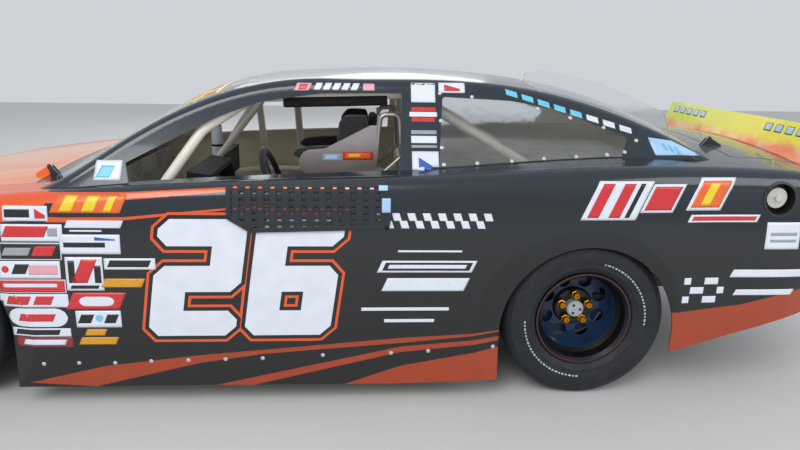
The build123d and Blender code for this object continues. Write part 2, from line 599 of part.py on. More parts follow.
# Front suspension: arms from the rails to the two joints of each knuckle
KINGPIN_Y = 655
LOWER_Z, UPPER_Z = 230, 480
PIN_R = 10
arms = []
for z, inner_y in ((LOWER_Z, 430), (UPPER_Z, 440)):
    eye = Pos(*place((WHEELBASE, KINGPIN_Y, z))) * Cylinder(26, 28)
    eye -= Pos(*place((WHEELBASE, KINGPIN_Y, z))) * Cylinder(PIN_R + BORE_CLEARANCE, 60)
    legs = [beam((WHEELBASE + side * 100, inner_y, z + 18),
                 (WHEELBASE + side * 20, KINGPIN_Y - 20, z), 28, 24) for side in (-1, 1)]
    arms.append(eye + legs)
spring_place = Pos(*place((WHEELBASE, FRONT_SPRING_Y, 430)))
coil = spring_place * Cylinder(44, 350)
coil += block(WHEELBASE - 70, WHEELBASE + 70, FRONT_SPRING_Y - 30, FRONT_SPRING_Y + 30, 236, 256)
front_links = (Part() + [arms[0] + coil] + [arms[1] - spring_place * Cylinder(50, 340)]) - frame

# Knuckle: upright with a pin up and a pin down, a spindle and a steering arm
knuckle = block(WHEELBASE - 30, WHEELBASE + 30, 632, 680, LOWER_Z + 20, UPPER_Z - 20)
knuckle += rod((WHEELBASE, KINGPIN_Y, LOWER_Z - 14), (WHEELBASE, KINGPIN_Y, UPPER_Z + 14), PIN_R)
knuckle += drum((WHEELBASE, 712, AXLE_Z), SPINDLE_R, 66)
ARM_END = (WHEELBASE + 140, 600, 260)
knuckle += beam((WHEELBASE + 20, KINGPIN_Y - 5, 260), ARM_END, 30, 16)
knuckle += Pos(*place(ARM_END)) * Cylinder(18, 16)
knuckle += caliper(WHEELBASE)

# Steering rack: a bar that slides across the car inside its housing
RACK_Z, RACK_R = 232, 11
rack = drum((ARM_END[0], 0, RACK_Z), RACK_R, 2 * ARM_END[1])
rack = rack + [Pos(along(ARM_END[0]), side * ARM_END[1], RACK_Z) * Cylinder(16, 28) for side in (-1, 1)]
rack_axis = (ARM_END[0], 0, RACK_Z)
rack_housing = drum(rack_axis, 24, 560) - drum(rack_axis, RACK_R + BORE_CLEARANCE, 700)
for y in (-250, 250):
    rack_housing += block(2834, ARM_END[0] - 14, y - 15, y + 15, 212, 225)

# Wheels and tyres, drawn as profiles of (radius, y) turned about the axle
DISC_Y = 740
OUT_Y, IN_Y = HALF_TRACK + RIM_HALF_W, HALF_TRACK - RIM_HALF_W


def turned(points, ahead):
    """Ring turned about a wheel's axis from (radius, y) points."""
    face = make_face(Polyline(*[(r, y) for r, y in points], close=True))
    ring = revolve(face, Axis.Y, 360)
    return Pos(along(ahead), 0, AXLE_Z) * ring


# Rim flanges and barrel, the dished disc inside them, and the raised hub plate with its cap
RIM = [(RIM_R, OUT_Y), (RIM_R, OUT_Y - 12), (196, OUT_Y - 16), (192, OUT_Y - 60), (178, OUT_Y - 80),
       (178, IN_Y + 70), (194, IN_Y + 40), (196, IN_Y + 14), (RIM_R, IN_Y + 10), (RIM_R, IN_Y),
       (190, IN_Y + 3), (187, IN_Y + 40), (171, IN_Y + 72), (171, DISC_Y - 12), (120, DISC_Y - 6),
       (80, DISC_Y - 8), (62, HUB_Y + 20), (62, HUB_Y), (SPINDLE_R + BORE_CLEARANCE, HUB_Y),
       (SPINDLE_R + BORE_CLEARANCE, DISC_Y + 8), (0, DISC_Y + 8), (0, DISC_Y + 54), (32, DISC_Y + 54),
       (38, DISC_Y + 48), (38, DISC_Y + 14), (82, DISC_Y + 14), (87, DISC_Y + 9), (90, DISC_Y),
       (122, DISC_Y + 2), (171, DISC_Y - 4), (171, OUT_Y - 84), (186, OUT_Y - 62), (189, OUT_Y - 14),
       (200, OUT_Y)]
LUGS, LUG_CIRCLE_R, LUG_R = 5, 63.5, 13
DISC_HOLES, DISC_HOLE_R, DISC_HOLE_CIRCLE_R = 8, 33, 131
BEAD_R, BEAD_HALF_W = 196, RIM_HALF_W - 18
SHOULDER_R, TREAD_HALF_W = 300, 112


def round_axle(ahead, radius, count, first):
    """Centres (ahead, z) of count equal places round a wheel's axis, from a first angle off the vertical."""
    angles = [first + math.tau * n / count for n in range(count)]
    return [(ahead + radius * math.sin(a), AXLE_Z + radius * math.cos(a)) for a in angles]


def wheel(ahead):
    rim = turned(RIM, ahead)
    half = BRAKE_THICK / 2
    rim += turned([(60, BRAKE_Y - half), (BRAKE_R, BRAKE_Y - half), (BRAKE_R, BRAKE_Y + half),
                   (60, BRAKE_Y + half)], ahead)
    for s, z in round_axle(ahead, DISC_HOLE_CIRCLE_R, DISC_HOLES, math.pi / DISC_HOLES):
        rim -= drum((s, DISC_Y - 4, z), DISC_HOLE_R, 24)
    for s, z in round_axle(ahead, LUG_CIRCLE_R, LUGS, 0):
        rim += drum((s, DISC_Y + 22, z), LUG_R, 36)
    return rim


def tyre(ahead):
    """Slick tyre: bead, lower wall, shoulder and flat tread, the same on both sides of its middle."""
    half = [(BEAD_R, BEAD_HALF_W), (SHOULDER_R, TYRE_HALF_W), (TYRE_R, TREAD_HALF_W)]
    outer = [(r, HALF_TRACK + y) for r, y in half]
    inner = [(r, HALF_TRACK - y) for r, y in reversed(half)]
    return turned(outer + inner, ahead)


wheels = {"front": wheel(WHEELBASE), "rear": wheel(0)}
tyres = {"front": tyre(WHEELBASE), "rear": tyre(0)}

# Behind the nose and under the tail
radiator = block(3400, 3450, -330, 330, 250, 600)
grille = [block(3792, 3800, -400, 400, z, z + 10) for z in range(212, 360, 24)]
grille += [block(3788, 3798, y - 5, y + 5, 190, 370) for y in range(-360, 361, 120)]
grille = Part() + grille
splitter_side = [(3650, 450), (3250, 700), (3250, 905), (3560, 830), (3760, 640), (3835, 430)]
splitter = top_plate(splitter_side + [(s, -y) for s, y in reversed(splitter_side)], 76, 88)
exhaust = Part() + [tube([(2330, y - 40, 360), (2200, y - 30, 190), (950, y - 60, 190),
                          (700, y - 180, 180)], 32, 80) for y in (-240, -330)]

os.makedirs("parts", exist_ok=True)
SINGLE = {
    "nose": nose, "splitter": splitter, "grille": grille, "hood": hood, "cowl": cowl, "roof": roof,
    "windshield": windshield, "rear_window": rear_window, "deck_lid": deck_lid, "spoiler": spoiler,
    "tail": tail, "shark_fin": shark_fin, "fuel_filler": fuel_filler, "window_net": window_net,
    "chassis_frame": frame, "cage_hoop": cage_hoop, "cage_cross": cage_cross, "floor_pan": floor_pan,
    "dash": dash, "steering_column": column, "steering_wheel": steering_wheel, "seat_shell": seat_shell,
    "engine": engine, "gearbox": gearbox, "propshaft": propshaft, "rear_axle": axle, "rear_links": rear_links,
    "steering_rack": rack, "rack_housing": rack_housing, "radiator": radiator, "fuel_cell": fuel_cell,
    "exhaust": exhaust,
}
PAIRS = {
    "fender": fender, "door": door, "skirt": skirt, "quarter_window": quarter_window,
    "front_links": front_links, "knuckle": knuckle,
    "front_wheel": wheels["front"], "rear_wheel": wheels["rear"],
    "front_tyre": tyres["front"], "rear_tyre": tyres["rear"],
}
for node, shape in SINGLE.items():
    save(spread(shape), node)
for node, shape in PAIRS.items():
    save_pair(spread(shape), node)
save(quarter_left, "quarter_left")
save(mirror(quarter, about=Plane.XZ), "quarter_right")
GROUPS = {
    "seat_pads": seat_pads, "wheel_wells": wheel_wells, "cage_legs": cage_legs, "door_bars": door_bars,
    "rear_braces": rear_braces,
}
for node, shapes in GROUPS.items():
    save(Compound(children=[shape.solids()[0] for shape in shapes]), node)
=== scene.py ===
import bmesh
import bpy
import math
import numpy as np
from mathutils import Matrix, Vector
from mathutils.bvhtree import BVHTree


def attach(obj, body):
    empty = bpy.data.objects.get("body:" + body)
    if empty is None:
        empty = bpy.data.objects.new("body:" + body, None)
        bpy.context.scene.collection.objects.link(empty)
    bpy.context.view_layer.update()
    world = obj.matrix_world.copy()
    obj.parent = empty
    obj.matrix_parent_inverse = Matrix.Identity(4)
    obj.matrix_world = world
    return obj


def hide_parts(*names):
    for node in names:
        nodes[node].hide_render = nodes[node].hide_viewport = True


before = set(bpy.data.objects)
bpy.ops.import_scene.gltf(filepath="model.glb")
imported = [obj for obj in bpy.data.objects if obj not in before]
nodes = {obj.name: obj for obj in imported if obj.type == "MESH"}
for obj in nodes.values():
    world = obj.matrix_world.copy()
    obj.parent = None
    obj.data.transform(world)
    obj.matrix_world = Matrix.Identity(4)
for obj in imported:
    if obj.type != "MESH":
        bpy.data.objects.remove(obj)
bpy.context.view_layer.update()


# Chassis frame: two rectangular steel tube rails with cross members, welded on a jig.
# It is painted satin grey, and the paint is dusty underneath.

def linear(code):
    """Linear colour of an sRGB hex code: ((c + 0.055) / 1.055) to the power 2.4, or c / 12.92 near black."""
    channels = [int(code[i:i + 2], 16) / 255 for i in (0, 2, 4)]
    return (*[((c + 0.055) / 1.055) ** 2.4 if c > 0.04045 else c / 12.92 for c in channels], 1.0)


def add(tree, kind, sockets=None, **settings):
    """Adds a shader node. sockets maps an input's name or number to a value, a socket or a node."""
    made = tree.nodes.new("ShaderNode" + kind)
    for key, value in settings.items():
        setattr(made, key, value)
    for key, value in (sockets or {}).items():
        if isinstance(value, bpy.types.Node):
            value = value.outputs[0]
        if isinstance(value, bpy.types.NodeSocket):
            tree.links.new(value, made.inputs[key])
        else:
            made.inputs[key].default_value = value
    return made


def blank(name):
    """An empty material with its node tree, and the place on the object that its patterns read."""
    material = bpy.data.materials.new(name)
    material.use_nodes = True
    tree = material.node_tree
    tree.nodes.clear()
    return material, tree, add(tree, "TexCoord").outputs["Object"]


# Patches of dust and fading, and smears of a cleaning cloth, in millimetres across
PATCH_MM, SMEAR_MM = 80, 20
# The stretch in which most values of a noise lie
NOISE_SPREAD = {"From Min": 0.3, "From Max": 0.7}
# Shares of the roughness where a smear is shiniest and dullest
SHINIEST, DULLEST = 0.88, 1.15


def finish(name, colour, roughness, grain_mm=2.0, bump=0.08, fade=0.08, **sockets):
    """A surface whose colour drifts by fade over patches, whose gloss drifts over smears, and which has
    grains grain_mm across. colour is a hex code, or a function that adds nodes and returns one."""
    material, tree, where = blank(name)
    clouds = add(tree, "TexNoise", {"Vector": where, "Scale": 1000 / PATCH_MM, "Detail": 5.0})
    smears = add(tree, "TexNoise", {"Vector": where, "Scale": 1000 / SMEAR_MM, "Detail": 4.0})
    grains = add(tree, "TexNoise", {"Vector": where, "Scale": 1000 / grain_mm, "Detail": 2.0})
    drift = add(tree, "MapRange", {"Value": clouds, **NOISE_SPREAD, "To Min": 1 - fade, "To Max": 1 + fade})
    base = colour(tree, where) if callable(colour) else linear(colour)
    tone = add(tree, "HueSaturation", {"Color": base, "Value": drift})
    gloss = add(tree, "MapRange", {"Value": smears, **NOISE_SPREAD, "To Min": roughness * SHINIEST,
                                   "To Max": min(roughness * DULLEST, 1.0)})
    relief = add(tree, "Bump", {"Height": grains, "Strength": bump, "Distance": grain_mm / 2000})
    shader = add(tree, "BsdfPrincipled", {"Base Color": tone, "Roughness": gloss, "Normal": relief,
                                          **{key.replace("_", " "): value for key, value in sockets.items()}})
    add(tree, "OutputMaterial", {"Surface": shader})
    return material


def dress(material, *names):
    """Gives CAD nodes a material."""
    for name in names:
        slots = nodes[name].data.materials
        slots.clear()
        slots.append(material)


# Satin enamel on steel tube: soft sheen, dust in broad patches
frame_enamel = finish("satin_enamel_grey", "3a3c3f", 0.5, 1.5, 0.06, 0.16)
dress(frame_enamel, "chassis_frame")


# Roll cage: bent round steel tube, notched and welded, brushed with cream enamel.
# It shows through every window, also as the arched bars in the door.

# Brushed enamel: a soft gloss with faint brush waves 3 mm apart, under a thin clear skin
cage_enamel = finish("brushed_enamel_cream", "ebe5d8", 0.38, 3.0, 0.1, 0.06, Coat_Weight=0.2)
dress(cage_enamel, "cage_hoop", "cage_cross", "cage_legs", "door_bars", "rear_braces")


# Floor, firewalls and wheel wells: folded steel sheet, riveted to the frame, in light grey primer.
# Rubber crumb and dust dull it.

def scuffed(light, dark, patch_mm):
    """Colours of a plain coat, or of rubber and foam, with darker scuffs patch_mm across."""
    def colours(tree, where):
        scuffs = add(tree, "TexNoise", {"Vector": where, "Scale": 1000 / patch_mm, "Detail": 8.0,
                                        "Roughness": 0.7})
        edge = add(tree, "MapRange", {"Value": scuffs, "From Min": 0.48, "From Max": 0.7})
        return add(tree, "MixRGB", {"Fac": edge, "Color1": linear(light), "Color2": linear(dark)})
    return colours


# Primer is flat and even, with scuffs of bare steel in broad patches. The wells have a dull black coat of
# rubber crumb with coarse grains
primer = finish("primed_sheet_steel", scuffed("a9a59d", "6f6b64", 120), 0.55, 1.0, 0.05)
dress(primer, "floor_pan")
well_coat = finish("crumb_coated_steel", scuffed("2b2b2c", "151516", 60), 0.75, 4.0, 0.3)
dress(well_coat, "wheel_wells")


# Engine, gearbox, shaft, axle, links and exhaust: cast iron, cast aluminium and steel tube.
# Castings keep the grain of the sand mould, tubes are smooth and darker.

def pair(name):
    """Names of the left and the right one of two like nodes."""
    return name + "_left", name + "_right"


# Sand castings catch the light on their grains, iron darker than aluminium. Phosphate leaves steel near
# black with a low sheen, heat tints the exhaust brown and grey, and the ground rack bar is bright
cast_iron = finish("sand_cast_iron", "4a4c4f", 0.6, 3.0, 0.35, 0.12, Metallic=0.8)
cast_alloy = finish("sand_cast_aluminium", "8d8f92", 0.48, 2.5, 0.3, 0.1, Metallic=0.9)
shaft_enamel = finish("white_enamel_on_tube", "d7d7d2", 0.4, 2.0, 0.06)
link_steel = finish("black_phosphated_steel", "2d2e31", 0.45, 1.2, 0.12, 0.12, Metallic=0.6)
hot_steel = finish("heat_tinted_mild_steel", scuffed("6d6259", "3d3a3a", 90), 0.42, 1.0, 0.08, Metallic=0.9)
ground_steel = finish("ground_steel", "c3c5c8", 0.22, 0.6, 0.04, 0.04, Metallic=1.0)
dress(cast_iron, "engine")
dress(cast_alloy, "gearbox", "rack_housing")
dress(shaft_enamel, "propshaft")
dress(link_steel, "rear_axle", "rear_links", *pair("front_links"), *pair("knuckle"))
dress(hot_steel, "exhaust")
dress(ground_steel, "steering_rack")


# Radiator and fuel cell: an aluminium core with fins 3 mm apart, brazed to its tanks,
# and a rubber bladder in a black enamelled steel can behind the axle.

FIN_PITCH_MM = 3


def fins(tree, where):
    """Bright and dark lines across the car, one of each for every fin."""
    scale = 1000 / FIN_PITCH_MM / math.tau
    waves = add(tree, "TexWave", {"Vector": where, "Scale": scale}, bands_direction="Y")
    return add(tree, "MixRGB", {"Fac": waves, "Color1": linear("2a2b2c"), "Color2": linear("a5a8aa")})


# The core reads as fine stripes of bright metal and shade, and the can's enamel is smooth with a soft gloss
core = finish("finned_aluminium_core", fins, 0.4, 1.0, 0.05, Metallic=0.8)
can = finish("black_enamelled_can", "1d1e20", 0.35, 1.5, 0.08)
dress(core, "radiator")
dress(can, "fuel_cell")


# Dash, column and steering wheel: a folded aluminium dash in crinkle black, a steel column,
# and a wheel of steel spokes with a foam and suede rim.

# Crinkle enamel breaks a highlight into specks. Suede is dull, with a pale sheen at its edges
crinkle = finish("crinkle_black_enamel", "1b1c1e", 0.62, 1.8, 0.5)
suede = finish("black_suede", "17171a", 0.9, 0.8, 0.4, Sheen_Weight=0.4)
dress(crinkle, "dash")
dress(link_steel, "steering_column")
dress(suede, "steering_wheel")


# Seat: an aluminium containment shell with head and shoulder supports, anodised pale,
# and foam pads in black cloth stuck inside it.

# Anodising leaves a satin, slightly warm grey with soft reflections
anodised = finish("anodised_sheet_aluminium", "b9b2b3", 0.34, 0.8, 0.05, 0.05, Metallic=0.9)
dress(anodised, "seat_shell")


def cloth_colours(light, dark, thread_mm):
    """Cells thread_mm across, dark in the middle and light at the edge, as the crossings of threads are."""
    def colours(tree, where):
        checks = add(tree, "TexVoronoi", {"Vector": where, "Scale": 1000 / thread_mm})
        return add(tree, "MixRGB", {"Fac": checks, "Color1": linear(dark), "Color2": linear(light)})
    return colours


# Seat cloth: dull, with a woven check that is drawn 2 mm wide, coarser than real, so that it shows
pad_weave = cloth_colours("26262a", "121214", 2.0)
pad_cloth = finish("black_seat_cloth", pad_weave, 0.85, 1.6, 0.5, Sheen_Weight=0.3)
dress(pad_cloth, "seat_pads")


# Body: sheet steel and moulded composite panels in black vinyl wrap with orange bands and a race number.
# The wrap is glossy, shows orange on the hood and the tops of the front fenders, and bands along the skirts.

# The bluer black is a painted reflection of the sky on the upper sides and on the cowl, roof and deck lid
GROUND, GROUND_SKY_REFLECTION, WHITE, PRIMER_CREAM_SUNLIT = "0b0c0e", "17242f", "dfe4ee", "e6dcc2"
# The deep orange is the side's orange darkened as painted shade on the low skirts and quarters
ORANGE, ORANGE_IN_SHADE, ORANGE_HOOD, AMBER = "e2561d", "a63c18", "f2702a", "f7a52c"
PAINT_FRONT, PAINT_REAR, PAINT_TOP = 2.6, -2.6, 1.4
# The black ground turns bluer between these heights, a painted reflection of the sky on the upper side
SKY_REFLECTION_FROM, SKY_REFLECTION_TO = 0.6, 0.98
# Bands on the side: colour, upper edge and lower edge, as (x, z) points in millimetres from the front
BANDS = [
    (ORANGE, [(905, 815), (829, 813), (598, 816), (201, 854), (-290, 893)],
     [(905, 794), (829, 794), (599, 804), (201, 846), (-290, 890)]),
    (ORANGE, [(905, 905), (585, 912), (197, 934), (-290, 950)],
     [(905, 868), (585, 884), (198, 918), (-290, 944)]),
    # The next four bands, low on the skirts and the rear quarter, are in orange darkened as painted shade
    (ORANGE_IN_SHADE, [(1039, 108), (722, 183), (337, 229), (-499, 300), (-924, 324)],
     [(1039, 108), (771, 88), (340, 193), (72, 233), (-499, 277), (-924, 318)]),
    (ORANGE_IN_SHADE, [(279, 88), (-499, 260), (-925, 297)], [(279, 80), (149, 80), (-500, 235), (-926, 278)]),
    (ORANGE_IN_SHADE, [(-249, 80), (-501, 170), (-928, 250)], [(-249, 70), (-928, 60)]),
    (ORANGE_IN_SHADE, [(-1640, 425), (-1651, 397), (-1965, 433), (-2220, 501), (-2530, 590)],
     [(-1640, 150), (-2600, 150)]),
    (ORANGE, [(2600, 1300), (905, 1300)], [(2600, 500), (1500, 760), (905, 806)]),
]
# The number's front edge and foot, a digit's height and width, the step to the next digit, and how far the
# number leans and how far it is set ahead
NUMBER_X, NUMBER_Z, NUMBER_H, NUMBER_W, NUMBER_STEP = 0.523, 0.318, 0.492, 0.352, 0.388
NUMBER_LEAN, NUMBER_SHIFT = 0.15, 0.015
STROKE_X, STROKE_Z, CHAMFER, DIAGONAL = 0.132, 0.110, 0.040, 0.7071
OUTLINE_NEAR, OUTLINE_FAR = 0.016, 0.027
# Half depth of a stroke's box, which reaches past both doors
THROUGH = 10.0
# Strokes of the two digits, as left, right, low and high shares of the box between the outer strokes
DIGITS = [
    [(0, 1, 2, 2), (1, 1, 1, 2), (0, 1, 1, 1), (0, 0, 0, 1), (0, 1, 0, 0)],
    [(0, 0, 0, 2), (0, 1, 2, 2), (0, 1, 1, 1), (1, 1, 0, 1), (0, 1, 0, 0)],
]


def side_bands(tree, where):
    """Black ground, bluer higher up as a painted reflection of the sky, with the bands: a band shows where z
    lies between its two edge lines, read at x."""
    parts = add(tree, "SeparateXYZ", {"Vector": where}).outputs
    share = add(tree, "MapRange", {"Value": parts["X"], "From Min": PAINT_REAR, "From Max": PAINT_FRONT})
    # Bluer towards the top: a painted reflection of the sky
    height = add(tree, "MapRange", {"Value": parts["Z"], "From Min": SKY_REFLECTION_FROM, "From Max": SKY_REFLECTION_TO})
    colour = add(tree, "MixRGB", {"Fac": height, "Color1": linear(GROUND), "Color2": linear(GROUND_SKY_REFLECTION)})
    for code, *edges in BANDS:
        lines = []
        for points in edges:
            line = add(tree, "FloatCurve", {"Value": share})
            curve = line.mapping.curves[0]
            spots = sorted(((x / 1000 - PAINT_REAR) / (PAINT_FRONT - PAINT_REAR), z / 1000 / PAINT_TOP)
                           for x, z in points)
            while len(curve.points) < len(spots):
                curve.points.new(0.5, 0.5)
            for point, spot in zip(curve.points, spots):
                point.location = spot
                point.handle_type = "VECTOR"
            line.mapping.extend = "HORIZONTAL"
            line.mapping.update()
            lines.append(add(tree, "Math", {0: line, 1: PAINT_TOP}, operation="MULTIPLY"))
        below = add(tree, "Math", {0: lines[0], 1: parts["Z"]}, operation="SUBTRACT")
        above = add(tree, "Math", {0: parts["Z"], 1: lines[1]}, operation="SUBTRACT")
        reach = [x / 1000 for points in edges for x, z in points]
        ahead = add(tree, "Math", {0: parts["X"], 1: min(reach)}, operation="SUBTRACT")
        behind = add(tree, "Math", {0: max(reach), 1: parts["X"]}, operation="SUBTRACT")
        inside = below
        for edge in (above, ahead, behind):
            inside = add(tree, "Math", {0: inside, 1: edge}, operation="MINIMUM")
        shown = add(tree, "Math", {0: inside, 1: 0.0}, operation="GREATER_THAN")
        colour = add(tree, "MixRGB", {"Fac": shown, "Color1": colour, "Color2": linear(code)})
    return colour


def numbered(tree, where):
    """The bands with the race number: distance to a union of boxes with cut corners, white inside, black
    round it and an orange line outside."""
    colour = side_bands(tree, where)
    parts = add(tree, "SeparateXYZ", {"Vector": where}).outputs
    side = add(tree, "Math", {0: parts["Y"]}, operation="SIGN")
    centre = NUMBER_X - (NUMBER_STEP + NUMBER_W) / 2
    from_centre = add(tree, "Math", {0: centre, 1: parts["X"]}, operation="SUBTRACT")
    reading = add(tree, "Math", {0: from_centre, 1: side}, operation="MULTIPLY")
    lean = add(tree, "Math", {0: parts["Z"], 1: NUMBER_Z}, operation="SUBTRACT")
    shear = add(tree, "Math", {0: lean, 1: -NUMBER_LEAN, 2: reading}, operation="MULTIPLY_ADD")
    spot = add(tree, "CombineXYZ", {"X": shear, "Z": parts["Z"]})
    nearest = None
    for n, strokes in enumerate(DIGITS):
        first = n * NUMBER_STEP - (NUMBER_STEP + NUMBER_W) / 2 - NUMBER_SHIFT
        lefts = [first, first + NUMBER_W - STROKE_X]
        lows = [NUMBER_Z + i * (NUMBER_H - STROKE_Z) / 2 for i in (0, 1, 2)]
        for left, right, low, high in strokes:
            x0, x1 = lefts[left], lefts[right] + STROKE_X
            z0, z1 = lows[low], lows[high] + STROKE_Z
            middle, half = ((x0 + x1) / 2, 0, (z0 + z1) / 2), ((x1 - x0) / 2, THROUGH, (z1 - z0) / 2)
            off = add(tree, "VectorMath", {0: spot, 1: middle}, operation="SUBTRACT")
            far = add(tree, "VectorMath", {0: off}, operation="ABSOLUTE")
            over = add(tree, "VectorMath", {0: far, 1: half}, operation="SUBTRACT")
            axes = add(tree, "SeparateXYZ", {"Vector": over}).outputs
            flat = add(tree, "Math", {0: axes["X"], 1: axes["Z"]}, operation="MAXIMUM")
            slope = add(tree, "VectorMath", {0: over, 1: (DIAGONAL, 0, DIAGONAL)}, operation="DOT_PRODUCT")
            cut = add(tree, "Math", {0: slope.outputs["Value"], 1: CHAMFER * DIAGONAL}, operation="ADD")
            gap = add(tree, "Math", {0: flat, 1: cut}, operation="MAXIMUM")
            nearest = add(tree, "Math", {0: nearest, 1: gap}, operation="MINIMUM") if nearest else gap
    for reach, code in ((OUTLINE_FAR, ORANGE), (OUTLINE_NEAR, GROUND), (0.0, WHITE)):
        shown = add(tree, "Math", {0: nearest, 1: reach}, operation="LESS_THAN")
        colour = add(tree, "MixRGB", {"Fac": shown, "Color1": colour, "Color2": linear(code)})
    return colour


# Height of the cabin's middle, and how far a face may look inwards and still count as an outer one
CABIN_Z, EDGE_ON = 0.55, -0.02


def lined(outside):
    """Outer colours where a face looks away from the cabin's middle, and cream primer, lightened as painted
    sunlight, where it looks in.
    """
    def colours(tree, where):
        ports = add(tree, "TexCoord").outputs
        flat = add(tree, "VectorMath", {0: ports["Object"], 1: (0, 1, 1)}, operation="MULTIPLY")
        outward = add(tree, "VectorMath", {0: flat, 1: (0, 0, CABIN_Z)}, operation="SUBTRACT")
        facing = add(tree, "VectorMath", {0: outward, 1: ports["Normal"]}, operation="DOT_PRODUCT")
        inner = add(tree, "Math", {0: facing.outputs["Value"], 1: EDGE_ON}, operation="LESS_THAN")
        shown = outside(tree, where) if callable(outside) else linear(outside)
        # Inner faces take cream primer, lightened as painted sunlight through the windows
        return add(tree, "MixRGB", {"Fac": inner, "Color1": shown, "Color2": linear(PRIMER_CREAM_SUNLIT)})
    return colours


# Vinyl over filled panels: a glossy skin with faint waves 6 mm across
WRAP = dict(roughness=0.2, grain_mm=6.0, bump=0.02, fade=0.05, Coat_Weight=0.5, Coat_Roughness=0.05)
wrap_side = finish("vinyl_wrap_side", lined(side_bands), **WRAP)
wrap_door = finish("vinyl_wrap_number", lined(numbered), **WRAP)
wrap_ends = finish("vinyl_wrap_ends", side_bands, **WRAP)
dress(wrap_side, *pair("fender"), *pair("quarter"), *pair("skirt"))
dress(wrap_ends, "nose", "tail")
dress(wrap_door, *pair("door"))


# Metres along and across a streak of the hood's colour
STREAK_LENGTH, STREAK_WIDTH = 5 / 6, 1 / 6


def hood_colours(tree, where):
    """Orange that runs to amber over soft streaks along the hood."""
    squeeze = (1 / STREAK_LENGTH, 1 / STREAK_WIDTH, 1 / STREAK_WIDTH)
    along = add(tree, "Mapping", {"Vector": where, "Scale": squeeze})
    streaks = add(tree, "TexNoise", {"Vector": along, "Scale": 1.0, "Detail": 3.0})
    share = add(tree, "MapRange", {"Value": streaks, "From Min": 0.35, "From Max": 0.65})
    return add(tree, "MixRGB", {"Fac": share, "Color1": linear(ORANGE_HOOD), "Color2": linear(AMBER)})


wrap_hood = finish("vinyl_wrap_hood", lined(hood_colours), **WRAP)
# The cowl, roof and deck lid take the bluer black all over, a painted reflection of the sky on their tops
wrap_black = finish("vinyl_wrap_black", lined(GROUND_SKY_REFLECTION), **WRAP)
dress(wrap_hood, "hood")
dress(wrap_black, "cowl", "roof", "deck_lid")
# Moulded plastic: satin black with a fine grain
trim_black = finish("moulded_black_plastic", "18191b", 0.5, 1.5, 0.2)
dress(trim_black, "grille", "splitter")


# Decals: printed vinyl, cut out and pressed on over the wrap, in two columns behind the front wheel, on the
# pillars, the roof's edge, the doors and the rear quarters. They carry plain bars, slants, discs and
# chequers, with no words.

SIDES = {"left": 1, "right": -1}


def place(name, data):
    """Adds an object with its data to the scene."""
    thing = bpy.data.objects.new(name, data)
    bpy.context.scene.collection.objects.link(thing)
    return thing


def build(name, grids, material, body, smooth=40.0, inks=None, lifts=None):
    """Mesh of point grids, each an array (..., rows, columns, 3), with quads between neighbouring points.
    Points that meet are merged, so that rings and poles close, and faces are turned outwards.
    inks and lifts give each grid a colour and a height above what it is laid on, kept as attributes."""
    points, quads, start = [], [], 0
    for grid in grids:
        rows, columns = grid.shape[-3:-1]
        number = np.arange(rows * columns).reshape(rows, columns)
        corners = np.stack([number[:-1, :-1], number[1:, :-1], number[1:, 1:], number[:-1, 1:]], -1)
        copies = grid.reshape(-1, rows * columns, 3)
        offset = start + np.arange(len(copies))[:, None, None] * rows * columns
        quads.append((corners.reshape(1, -1, 4) + offset).reshape(-1, 4))
        points.append(copies.reshape(-1, 3))
        start += points[-1].shape[0]
    mesh = bpy.data.meshes.new(name)
    mesh.from_pydata(np.concatenate(points).tolist(), [], np.concatenate(quads).tolist())
    counts = [part.shape[0] for part in points]
    if inks:
        tint = mesh.color_attributes.new("ink", "FLOAT_COLOR", "POINT")
        tint.data.foreach_set("color", np.repeat(np.array(inks, np.float32), counts, axis=0).ravel())
    if lifts:
        mesh.attributes.new("lift", "FLOAT", "POINT").data.foreach_set("value", np.repeat(lifts, counts))
    shell = bmesh.new()
    shell.from_mesh(mesh)
    bmesh.ops.remove_doubles(shell, verts=shell.verts, dist=1e-6)
    bmesh.ops.recalc_face_normals(shell, faces=shell.faces)
    shell.to_mesh(mesh)
    shell.free()
    mesh.shade_smooth()
    mesh.set_sharp_from_angle(angle=math.radians(smooth))
    mesh.materials.append(material)
    piece = place(name, mesh)
    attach(piece, body)
    return piece


def merged_copy(name, *sources, hidden=True):
    """One mesh object of several CAD nodes' triangles with their shared points merged. Where it is only
    there to lay pieces on, it is hidden."""
    shell = bmesh.new()
    for source in sources:
        shell.from_mesh(nodes[source].data)
    bmesh.ops.remove_doubles(shell, verts=shell.verts, dist=1e-6)
    mesh = bpy.data.meshes.new(name)
    shell.to_mesh(mesh)
    shell.free()
    copy = place(name, mesh)
    copy.hide_render = hidden
    return copy


def points_of(mesh):
    """Coordinates of a mesh's points, as rows of three."""
    flat = np.empty(len(mesh.vertices) * 3)
    mesh.vertices.foreach_get("co", flat)
    return flat.reshape(-1, 3)


def evaluated(piece):
    """The piece as its modifiers make it."""
    return piece.evaluated_get(bpy.context.evaluated_depsgraph_get())


OUTER = [*pair("fender"), *pair("door"), *pair("quarter"), *pair("skirt"), "tail", "nose", "cowl", "roof",
         "windshield", "rear_window", *pair("quarter_window")]
outer_shell = merged_copy("outer_shell", *OUTER)
# Metres from a panel to what is laid on it, the step of a face that counts as a drop over an edge, and the
# least move of a point that has met the panel
CLEAR, DROP, MOVED = 0.0006, 0.02, 1e-5


